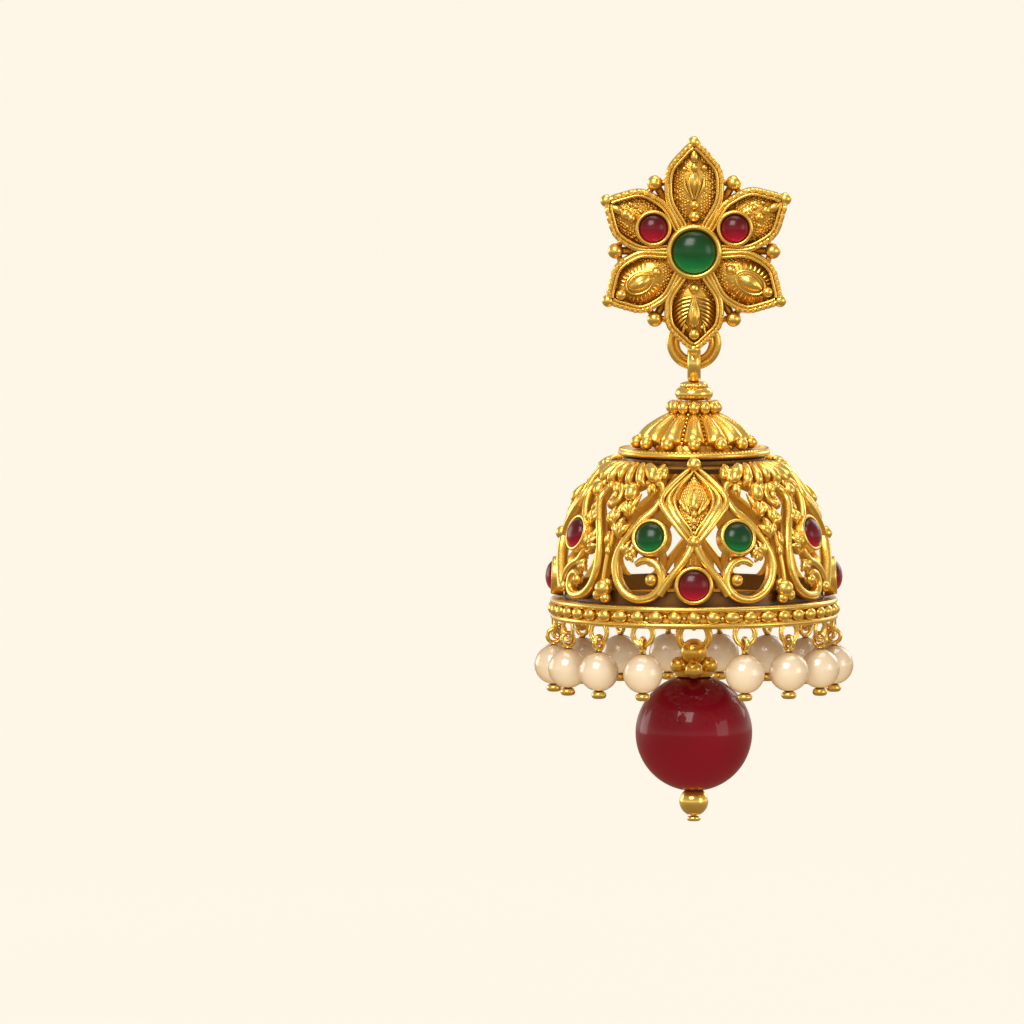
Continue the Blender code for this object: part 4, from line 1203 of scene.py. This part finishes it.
def leaf_plate():
    """The leaf's plate: a floor that rises to its middle, and a slope out to the edge."""
    let_go()
    bpy.ops.mesh.primitive_grid_add(x_subdivisions=20, y_subdivisions=30, size=2)
    plate = named("plate")
    for vertex in plate.data.vertices:
        up = LEAF_LOW + (LEAF_HIGH - LEAF_LOW) * (vertex.co.y + 1) / 2
        edge, field = width_at(LEAF_EDGE, up), width_at(LEAF_FIELD, up)
        across = abs(vertex.co.x)
        side = math.copysign(1, vertex.co.x)
        if across < FLOOR_PART:
            share = across / FLOOR_PART
            vertex.co = flat(side * field * share, up, (0.40 * (1 - share ** 2) - 0.25) * MM)
        else:
            share = (across - FLOOR_PART) / (1 - FLOOR_PART)
            away = field + (edge * 0.97 - field) * share
            vertex.co = flat(side * away, up, (0.20 - 0.12 * share) * MM)
    bpy.ops.object.mode_set(mode="EDIT")
    bpy.ops.mesh.select_all(action="SELECT")
    bpy.ops.mesh.extrude_region_move(TRANSFORM_OT_translate={"value": (0, 0, -0.75 * MM)})
    bpy.ops.object.mode_set(mode="OBJECT")
    return mend(plate)


def leaf():
    """The quarter's leaf, drawn flat: ridged rim, stippled field, bud and balls."""
    parts = []
    for share, wire, lift, taper in RIDGES:
        half = drawn([flat(*place, (lift - wire / 2) * MM) for place in between_edges(share)],
                     wire * MM, 0.3 * MM, taper, steps=5, sides=3)
        parts += [mirrored(half), half]
    parts.append(leaf_plate())
    stipple = []
    for row in range(17):
        up = 0.565 + 0.0225 * row
        field = width_at(LEAF_FIELD, up)
        count = int(field * ARC / STIPPLE_PITCH)
        for i in range(-count, count + 1):
            away = (i + 0.5 * (row % 2)) * STIPPLE_PITCH / ARC
            if abs(away) < field * 0.9 and not (abs(away) < 2.6 and 0.68 < up < 0.82):
                lift = 0.42 * (1 - (away / field) ** 2) - 0.28
                stipple.append(shift(*flat(away, up, lift * MM)) @ turn(40 * math.copysign(1, away))
                               @ grow(1.3, 0.8, 0.8))
    parts.append(copies("stipple", granule(0.25 * MM, 1.0, 6, 4), stipple))
    middle = flat(0, 0.745)
    parts.append(drop_shape((0, middle.y, 0.5 * MM), 1.9 * MM, 1.35 * MM, 1.1 * MM, 90, 0.5))
    for side in (-1, 1):
        for away, up, length, heading in WINGS:
            spot = flat(side * away, up, (0.42 - 0.04 * away) * MM)
            lean = heading if side > 0 else 180 - heading
            parts.append(drop_shape(spot, length * MM, 0.48 * MM, 0.5 * MM, lean, 0.35))
    parts += balls([(0, 0.835, 0.3, 0.42), (0, 0.865, 0.25, 0.38), (0, 0.658, 0.3, 0.78),
                    (0, 0.608, 0.3, 0.66), (0, 0.565, 0.25, 0.5), (0, 0.53, 0.2, 0.42)])
    return parts


def balls(rows):
    """Granules of the flat drawing: degrees, share, lift and diameter in mm."""
    return [put(granule(size * MM, 1.0, 16, 10), shift(*flat(away, up, lift * MM)))
            for away, up, lift, size in rows]


def drops(rows):
    """Small leaves of the flat drawing: degrees, share, length and width in mm, heading."""
    return [drop_shape(flat(away, up, 0.12 * MM), length * MM, width * MM, 0.9 * MM, heading, 0.4)
            for away, up, length, width, heading in rows]


def stems(routes):
    """Thin wires behind the scrolls, which carry the small leaves."""
    return [flat_wire(route, 0.55 * MM, lift=-0.25 * MM) for route in routes]


def leaf_spray(away, up, heading, lobes, length, width, fan):
    """A small lobed leaf: fluted lobes that fan out from a foot."""
    made = []
    for i in range(lobes):
        lean = heading + fan * (i - (lobes - 1) / 2)
        reach = length * (1 - 0.25 * abs(i - (lobes - 1) / 2) / max(lobes / 2, 1))
        angle = math.radians(lean)
        way_out = Vector((math.cos(angle), math.sin(angle), 0)) * reach * MM
        foot = flat(away, up, 0.10 * MM)
        hump = foot + way_out * 0.55 + Vector((0, 0, 0.28 * MM))
        made.append(drawn([foot, hump, foot + way_out], width * MM, 0.25 * MM,
                          taper=[0.5, 1.0, 0.35], steps=4, sides=2))
    return made


print("leaf field is", round(2 * 9.0 * ARC / MM, 1), "mm wide when flat")

# %% [markdown]
# ## Front, back and side quarters
#
# The half of a quarter is a list of parts: scroll wires, balls, small leaves and the stems
# that carry them. Mirroring the list gives the other half. Balls round off where two wires
# meet, as solder does.

# %% The two kinds of quarter


def sprays(rows):
    """Lobed leaves: degrees, share, heading, lobes, length and width in mm, and fan."""
    return [lobe for row in rows for lobe in leaf_spray(*row)]


def heart_half():
    """Half of a front or back quarter: a heart scroll and its small leaves."""
    parts = [flat_wire(HEART, taper=[0.8, 0.9] + [1] * 11 + [0.95, 0.85, 0.6]),
             flat_wire(LEG, 0.85 * MM, lift=0.0),
             flat_wire(HOOK, 0.8 * MM, taper=[1, 1, 1, 0.9, 0.8])]
    parts += balls([(33.6, 0.793, 0.4, 1.7), (18.4, 0.19, 0.15, 1.2), (40.8, 0.118, 0.4, 1.7),
                    (43.8, 0.07, 0.3, 1.15), (39.8, 0.05, 0.3, 1.1), (38.8, 0.16, 0.3, 0.9),
                    (17.6, 0.925, 0.35, 1.05), (20.8, 0.945, 0.35, 0.95),
                    (41.3, 0.625, 0.3, 1.15), (27.0, 0.385, 0.2, 0.95)])
    parts += sprays([(35.6, 0.49, 95, 3, 1.9, 0.75, 38), (39.0, 0.58, 70, 3, 1.7, 0.7, 40),
                     (31.0, 0.36, 125, 4, 1.6, 0.6, 34), (28.6, 0.385, 250, 3, 1.0, 0.55, 40),
                     (32.5, 0.65, 60, 3, 1.6, 0.6, 30), (24.0, 0.862, 250, 2, 1.3, 0.6, 40)])
    parts += drops([(38.3, 0.69, 1.6, 0.8, 115), (41.5, 0.48, 1.5, 0.8, 95),
                    (40.3, 0.40, 1.3, 0.7, 80), (30.6, 0.74, 1.9, 0.7, 120)])
    return parts + stems([[(42.5, 0.10), (41.8, 0.25), (40.6, 0.40), (39.3, 0.55), (37.2, 0.68),
                           (33.8, 0.79)],
                          [(39.3, 0.55), (35.8, 0.50), (32.0, 0.47)],
                          [(37.2, 0.68), (34.0, 0.65), (30.6, 0.71)]])


def scroll_half():
    """Half of a side quarter: a long scroll round a red stone."""
    parts = [flat_wire(SCROLL, taper=[0.5, 0.75, 0.9] + [1] * 12 + [0.9, 0.8, 0.6]),
             flat_wire(LEG, 0.85 * MM, lift=0.0),
             flat_wire(SCROLL_STEM, 0.75 * MM, lift=-0.2 * MM, taper=[1] * 9 + [0.7]),
             flat_wire(SIDE_HOOK, 0.75 * MM, taper=[1, 1, 1, 0.9, 0.8])]
    parts += balls([(30.5, 0.80, 0.3, 1.3), (31.0, 0.165, 0.1, 1.1), (20.5, 0.935, 0.3, 1.0),
                    (17.4, 0.10, 0.2, 1.1)])
    parts += sprays([(37.0, 0.40, 60, 4, 1.7, 0.65, 32), (36.0, 0.31, 250, 3, 1.4, 0.6, 36),
                     (35.0, 0.57, 75, 3, 1.6, 0.6, 36)])
    parts += drops([(39.5, 0.50, 1.5, 0.8, 80), (33.5, 0.70, 1.6, 0.7, 60)])
    return parts + stems([[(33.0, 0.40), (36.5, 0.375), (39.5, 0.46), (41.6, 0.52)],
                          [(31.5, 0.50), (34.8, 0.57), (36.8, 0.665)]])


def quarter(half_parts):
    """A whole quarter, drawn flat."""
    parts = []
    for piece in half_parts:
        parts += [mirrored(piece), piece]
    parts += leaf()
    parts += balls([(0, 0.462, 0.4, 1.3)])
    return join("quarter", parts)


front_quarter = quarter(heart_half())
side_quarter = quarter(scroll_half())
print("quarter faces:", len(front_quarter.data.polygons), len(side_quarter.data.polygons))

# %% [markdown]
# Between the quarters the shoulder carries acanthus: a fan of plump lobes that springs from
# the neck band. It is drawn once, about its own middle, and domed four times.

# %% Acanthus and the domed pattern


def acanthus():
    """A fan of fluted lobes whose tips curl, with a curled leaf and balls at each end."""
    parts = []
    for i in range(-3, 4):
        side = math.copysign(1, i) if i else 0
        drop = 0.014 * math.cos(i * 2.1)
        foot = flat(3.6 * i, 0.975, 0.0)
        middle = flat(5.4 * i, 0.94, 0.42 * MM)
        end = flat(7.0 * i, 0.89 + drop, 0.5 * MM)
        tip = flat(8.0 * i + 0.8 * side, 0.852 + drop + 0.004 * abs(i), 0.1 * MM)
        parts.append(drawn([foot, middle, end, tip], 1.25 * MM, 0.3 * MM,
                           taper=[0.5, 0.85, 1.0, 0.35], steps=4, sides=2))
        rib = [foot, flat(5.4 * i + 1.2, 0.93, 0.7 * MM),
               flat(7.0 * i + 1.2, 0.885 + drop, 0.72 * MM),
               flat(8.0 * i + 0.8 * side, 0.858 + drop, 0.3 * MM)]
        parts.append(drawn(rib, 0.42 * MM, taper=[0.6, 1.0, 1.0, 0.5], steps=3, sides=1))
    for side in (-1, 1):
        curl = [flat(side * 12, 0.93, 0.2 * MM), flat(side * 20, 0.92, 0.45 * MM),
                flat(side * 25.5, 0.95, 0.4 * MM), flat(side * 23.5, 0.975, 0.3 * MM)]
        parts.append(drawn(curl, 0.8 * MM, 0.2 * MM, taper=[0.9, 1.0, 0.9, 0.5], steps=5, sides=2))
    parts += balls([(-24.5, 0.905, 0.4, 1.1), (24.5, 0.905, 0.4, 1.1), (-13, 0.848, 0.3, 0.9),
                    (13, 0.848, 0.3, 0.9), (-6, 0.838, 0.25, 0.9), (6, 0.838, 0.25, 0.9),
                    (0, 0.82, 0.25, 1.05), (0, 0.775, 0.2, 0.8)])
    return join("acanthus", parts)


def domed_copies(pattern, middles):
    """The flat pattern, domed once at each angle."""
    made = [domed(twin_of(pattern), middle) for middle in middles]
    bpy.data.objects.remove(pattern)
    return made


# Balls on the shoulder: angle, diameter, distance out and height in mm
TOP_BALLS = [(0, 1.5, 8.65, -21.0), (90, 1.2, 8.6, -21.35), (180, 1.5, 8.65, -21.0),
             (270, 1.2, 8.6, -21.35)]
top_balls = []
for middle, size, out, z in TOP_BALLS:
    place = shift(y=HANG_Y) @ turn(middle) @ shift(y=-out * MM, z=z * MM)
    top_balls.append(put(granule(size * MM, 1.0, 18, 12), place))
bell_parts = top_balls + domed_copies(front_quarter, (0, 180))
bell_parts += domed_copies(side_quarter, (90, 270))
bell_parts += domed_copies(acanthus(), (45, 135, 225, 315))
pattern = join("bell_pattern", bell_parts)
ready(pattern, antique_gold, "bell", ["bell"])

# %% [markdown]
# ## Neck band, rim and bezels
#
# A closed band under the cap and a thick rim at the foot hold the open pattern. The band and
# a low wall inside the foot are a dark gold that paints the shade under the cap and inside the
# bell. The rim is a channel between two smooth lips, filled with a row of oval beads. A turned
# bezel stands round each stone.

# %% Neck band
neck_rows = np.linspace(1.0, 0.982, 4)
outer = [raised(0.0, np.float64(up), -0.15 * MM) for up in neck_rows]
inner = [raised(0.0, np.float64(up), -0.8 * MM) for up in neck_rows[::-1]]
# The cap's flange rests on this seat
seat = FLANGE_BOTTOM - 0.05 * MM
band_profile = [(0.75 * MM, seat), (7.0 * MM, seat), (7.15 * MM, seat - 0.15 * MM),
                (7.15 * MM, BELL_TOP)]
band_profile += [(HANG_Y - p[1], min(p[2], BELL_TOP)) for p in outer]
band_profile += [(HANG_Y - p[1], min(p[2], BELL_TOP - 0.6 * MM)) for p in inner]
band_profile += [(0.75 * MM, BELL_TOP - 0.7 * MM), (0.75 * MM, seat)]
neck_band = put(turned("neck_band", band_profile, 72), shift(y=HANG_Y))
# The band's dark gold is painted shade under the cap's flange.
ready(neck_band, painted_shade_gold, "bell")
# A low wall stands inside the foot of the pattern, and closes the bell's lowest gaps
foot_wall = in_mm([(12.95, -34.9), (12.95, -33.45), (12.85, -33.35), (12.7, -33.45), (12.7, -34.9),
                   (12.95, -34.9)])
inner_wall = put(turned("foot_wall", foot_wall, 96), shift(y=HANG_Y))
# The wall's dark gold is painted shade inside the bell's foot.
ready(inner_wall, painted_shade_gold, "bell")
print("neck band foot at", round(outer[-1][2] / MM, 2))

# %% Rim with its row of beads
RIM_OUT = 14.4 * MM
RIM_IN = 13.0 * MM
RIM_BEADS = 46
RIM_BEAD_Z = -35.86 * MM

rim = [(RIM_IN, RIM_TOP - 0.2 * MM), (RIM_IN + 0.2 * MM, RIM_TOP)]
rim += arc(RIM_OUT - 0.3 * MM, RIM_TOP - 0.3 * MM, 0.3 * MM, 90, -40, 7)
rim += [(RIM_OUT - 0.42 * MM, RIM_TOP - 0.62 * MM), (RIM_OUT - 0.48 * MM, -35.9 * MM),
        (RIM_OUT - 0.42 * MM, -36.3 * MM)]
rim += arc(RIM_OUT - 0.32 * MM, RIM_BOTTOM + 0.32 * MM, 0.32 * MM, 50, -90, 7)
rim += [(RIM_IN + 0.2 * MM, RIM_BOTTOM), (RIM_IN, RIM_BOTTOM + 0.2 * MM), (RIM_IN, RIM_TOP - 0.2 * MM)]
shell_parts = [turned("rim", rim, 136)]
bead_places = []
for i in range(RIM_BEADS):
    stretch = 0.92 + 0.16 * ((i * 7) % 5) / 4
    bead_places.append(turn(360 * i / RIM_BEADS - 90) @ shift(RIM_OUT - 0.3 * MM, 0, RIM_BEAD_Z)
                       @ grow(0.74, stretch, 0.84))
shell_parts.append(copies("rim_beads", granule(1.5 * MM, 1.0, 16, 12), bead_places))
tiny = [turn(360 * (i + 0.5) / RIM_BEADS - 90)
        @ shift(RIM_OUT - 0.42 * MM, 0, RIM_BEAD_Z + 0.12 * (-1) ** i * MM)
        for i in range(RIM_BEADS)]
shell_parts.append(copies("tiny_beads", granule(0.5 * MM, 1.0, 8, 6), tiny))

# %% Bezels of the bell
cups = []
for node, look, angle, up, diameter in stone_places():
    cup = bezel(diameter / 2 + 0.01 * MM, diameter / 2 + 0.42 * MM, BEZEL_HEIGHT, -0.45 * MM)
    cups.append(put(cup, on_bell(angle, up)))
shell = join("bell_band_and_rim", [put(piece, shift(y=HANG_Y)) for piece in shell_parts] + cups)
ready(shell, antique_gold, "bell")

# %% [markdown]
# ## Pearls on the rim
#
# Seventeen places are marked round the rim, and the front one is left empty for the bead.
# Each of the other sixteen has a grooved ring soldered under the rim, an eye pin through it,
# and a pearl on the pin with a small gold button below.

# %% Rings, pins and pearls
PLACES = 17
EYE_CIRCLE = 14.05 * MM
EYE_Z = -37.535 * MM
EYEPIN_Z = -38.615 * MM
PEARL_Z = -41.49 * MM
PEARL = 3.95 * MM
BUTTON_Z = -43.83 * MM

outer_eye = ring(2.7 * MM, 0.32 * MM, (0, 0, EYE_Z), "XZ", 32, 10)
inner_eye = ring(2.16 * MM, 0.30 * MM, (0, 0, EYE_Z), "XZ", 32, 10)
web_eye = ring(2.42 * MM, 0.26 * MM, (0, 0, EYE_Z), "XZ", 32, 8)
eye_ring = join("eye_ring", [outer_eye, inner_eye, web_eye])
eye_angles = [360 * i / PLACES for i in range(1, PLACES)]
hang_places = [shift(y=HANG_Y) @ turn(angle) @ shift(y=-EYE_CIRCLE) for angle in eye_angles]
eyes = copies("rim_rings", eye_ring, hang_places)
ready(eyes, bright_gold, "bell")

pin_loop = ring(1.76 * MM, 0.42 * MM, (0, 0, EYEPIN_Z), "YZ", 28, 10)
wire_profile = [(0, EYEPIN_Z - 0.68 * MM), (0.2 * MM, EYEPIN_Z - 0.68 * MM),
                (0.2 * MM, BUTTON_Z + 0.3 * MM), (0.35 * MM, BUTTON_Z + 0.38 * MM)]
wire_profile += arc(0.38 * MM, BUTTON_Z, 0.38 * MM, 80, -90, 7) + [(0, BUTTON_Z - 0.38 * MM)]
pin_wire = turned("pin_wire", wire_profile, 20)
twist = turned("twist", to_axis(arc(0.2 * MM, -39.4 * MM, 0.15 * MM, -90, 90, 4)), 16)
eye_pin = join("eye_pin", [pin_loop, pin_wire, twist])


def drilled(diameter, hole, z, sides, rings):
    """A bead with a straight hole along Z."""
    start = math.degrees(math.asin(hole / diameter))
    profile = arc(0, z, diameter / 2, -90 + start, 90 - start, rings)
    return turned("drilled", profile + [profile[0]], sides)


pearl = drilled(PEARL, 0.9 * MM, PEARL_Z, 36, 20)
kinds = [("pearl_pin", eye_pin, bright_gold, "bright_gold"), ("pearl", pearl, pearl_skin, "pearl")]
for number, place in enumerate(hang_places, start=1):
    for kind, source, look, slot_name in kinds:
        twin = put(twin_of(source), place)
        twin.name = f"{kind}_on_rim_{number:02d}"
        twin.data.name = twin.name
        ready(twin, look, "bell", [f"{kind}_{number:02d}"], 60)
bpy.data.objects.remove(eye_pin)
bpy.data.objects.remove(pearl)

# %% [markdown]
# ## The red bead drop
#
# The drop hangs from the pin's loop: a ring, a gold ball in front of its lower edge, four
# granules on a small cap, the red bead, and a gold ball with a flattened tip below.

# %% Ring, balls and bead
RING_Z = -38.74 * MM
BALL_Z = -40.34 * MM
BEAD = 11.7 * MM
BEAD_Z = BALL_Z - 1.35 * MM - 0.9 * MM - BEAD / 2
DIMPLE = 2.1 * MM
END_BALL = 2.9 * MM


def rise_of(diameter, chord):
    """How far a ball's middle stands from a round hole that it sits in."""
    return math.sqrt((diameter / 2) ** 2 - (chord / 2) ** 2)


END_Z = BEAD_Z - rise_of(BEAD, DIMPLE) - rise_of(END_BALL, DIMPLE) - 0.15 * MM
TIP_Z = END_Z - rise_of(END_BALL, 1.2 * MM) - 0.15 * MM - 0.25 * MM
drop_parts = [ring(3.8 * MM, 0.6 * MM, (0, 0, RING_Z), "XZ", 44, 12),
              ring(3.05 * MM, 0.4 * MM, (0, 0, RING_Z), "XZ", 44, 10),
              put(granule(2.7 * MM, 1.0, 28, 18), shift(z=BALL_Z)),
              turned("wire", [(0, TIP_Z), (0.3 * MM, TIP_Z), (0.3 * MM, BALL_Z), (0, BALL_Z)], 16)]
tip = arc(0.45 * MM, TIP_Z, 0.25 * MM, -90, 90, 6)
drop_parts.append(turned("tip", to_axis(tip), 24))
cap_in = BEAD / 2 + 0.15 * MM
plate_profile = arc(0, BEAD_Z, cap_in + 0.48 * MM, 88, 72, 5) + arc(0, BEAD_Z, cap_in, 72, 88, 5)
drop_parts.append(turned("small_cap", plate_profile + [plate_profile[0]], 32))
for i, lean in enumerate((12.5, 20, 12.5, 20)):
    angle = math.radians(lean)
    out = Vector((math.sin(angle), 0, math.cos(angle))) * (cap_in + 0.9 * MM)
    spot = turn(90 * i) @ out
    drop_parts.append(put(granule(1.8 * MM, 1.0, 20, 14), shift(*spot) @ shift(z=BEAD_Z)))
hanger = put(join("drop_ring_and_balls", drop_parts), shift(y=HANG_Y))
ready(hanger, bright_gold, "drop", ["drop_hanger"])

start = math.degrees(math.asin(DIMPLE / BEAD))
finish_angle = math.degrees(math.asin(1.2 * MM / BEAD))
bead_profile = [(0.6 * MM, BEAD_Z - rise_of(BEAD, DIMPLE) + 0.45 * MM)]
bead_profile += arc(0, BEAD_Z, BEAD / 2, -90 + start, 90 - finish_angle, 44)
bead = turned("red_bead", bead_profile + [bead_profile[0]], 88)
ready(put(bead, shift(y=HANG_Y)), bead_red, "drop", ["drop_bead"], 50)
end = put(drilled(END_BALL, 1.2 * MM, END_Z, 32, 20), shift(y=HANG_Y))
end.name = "gold_end_ball"
ready(end, bright_gold, "drop", ["drop_end_ball"], 50)
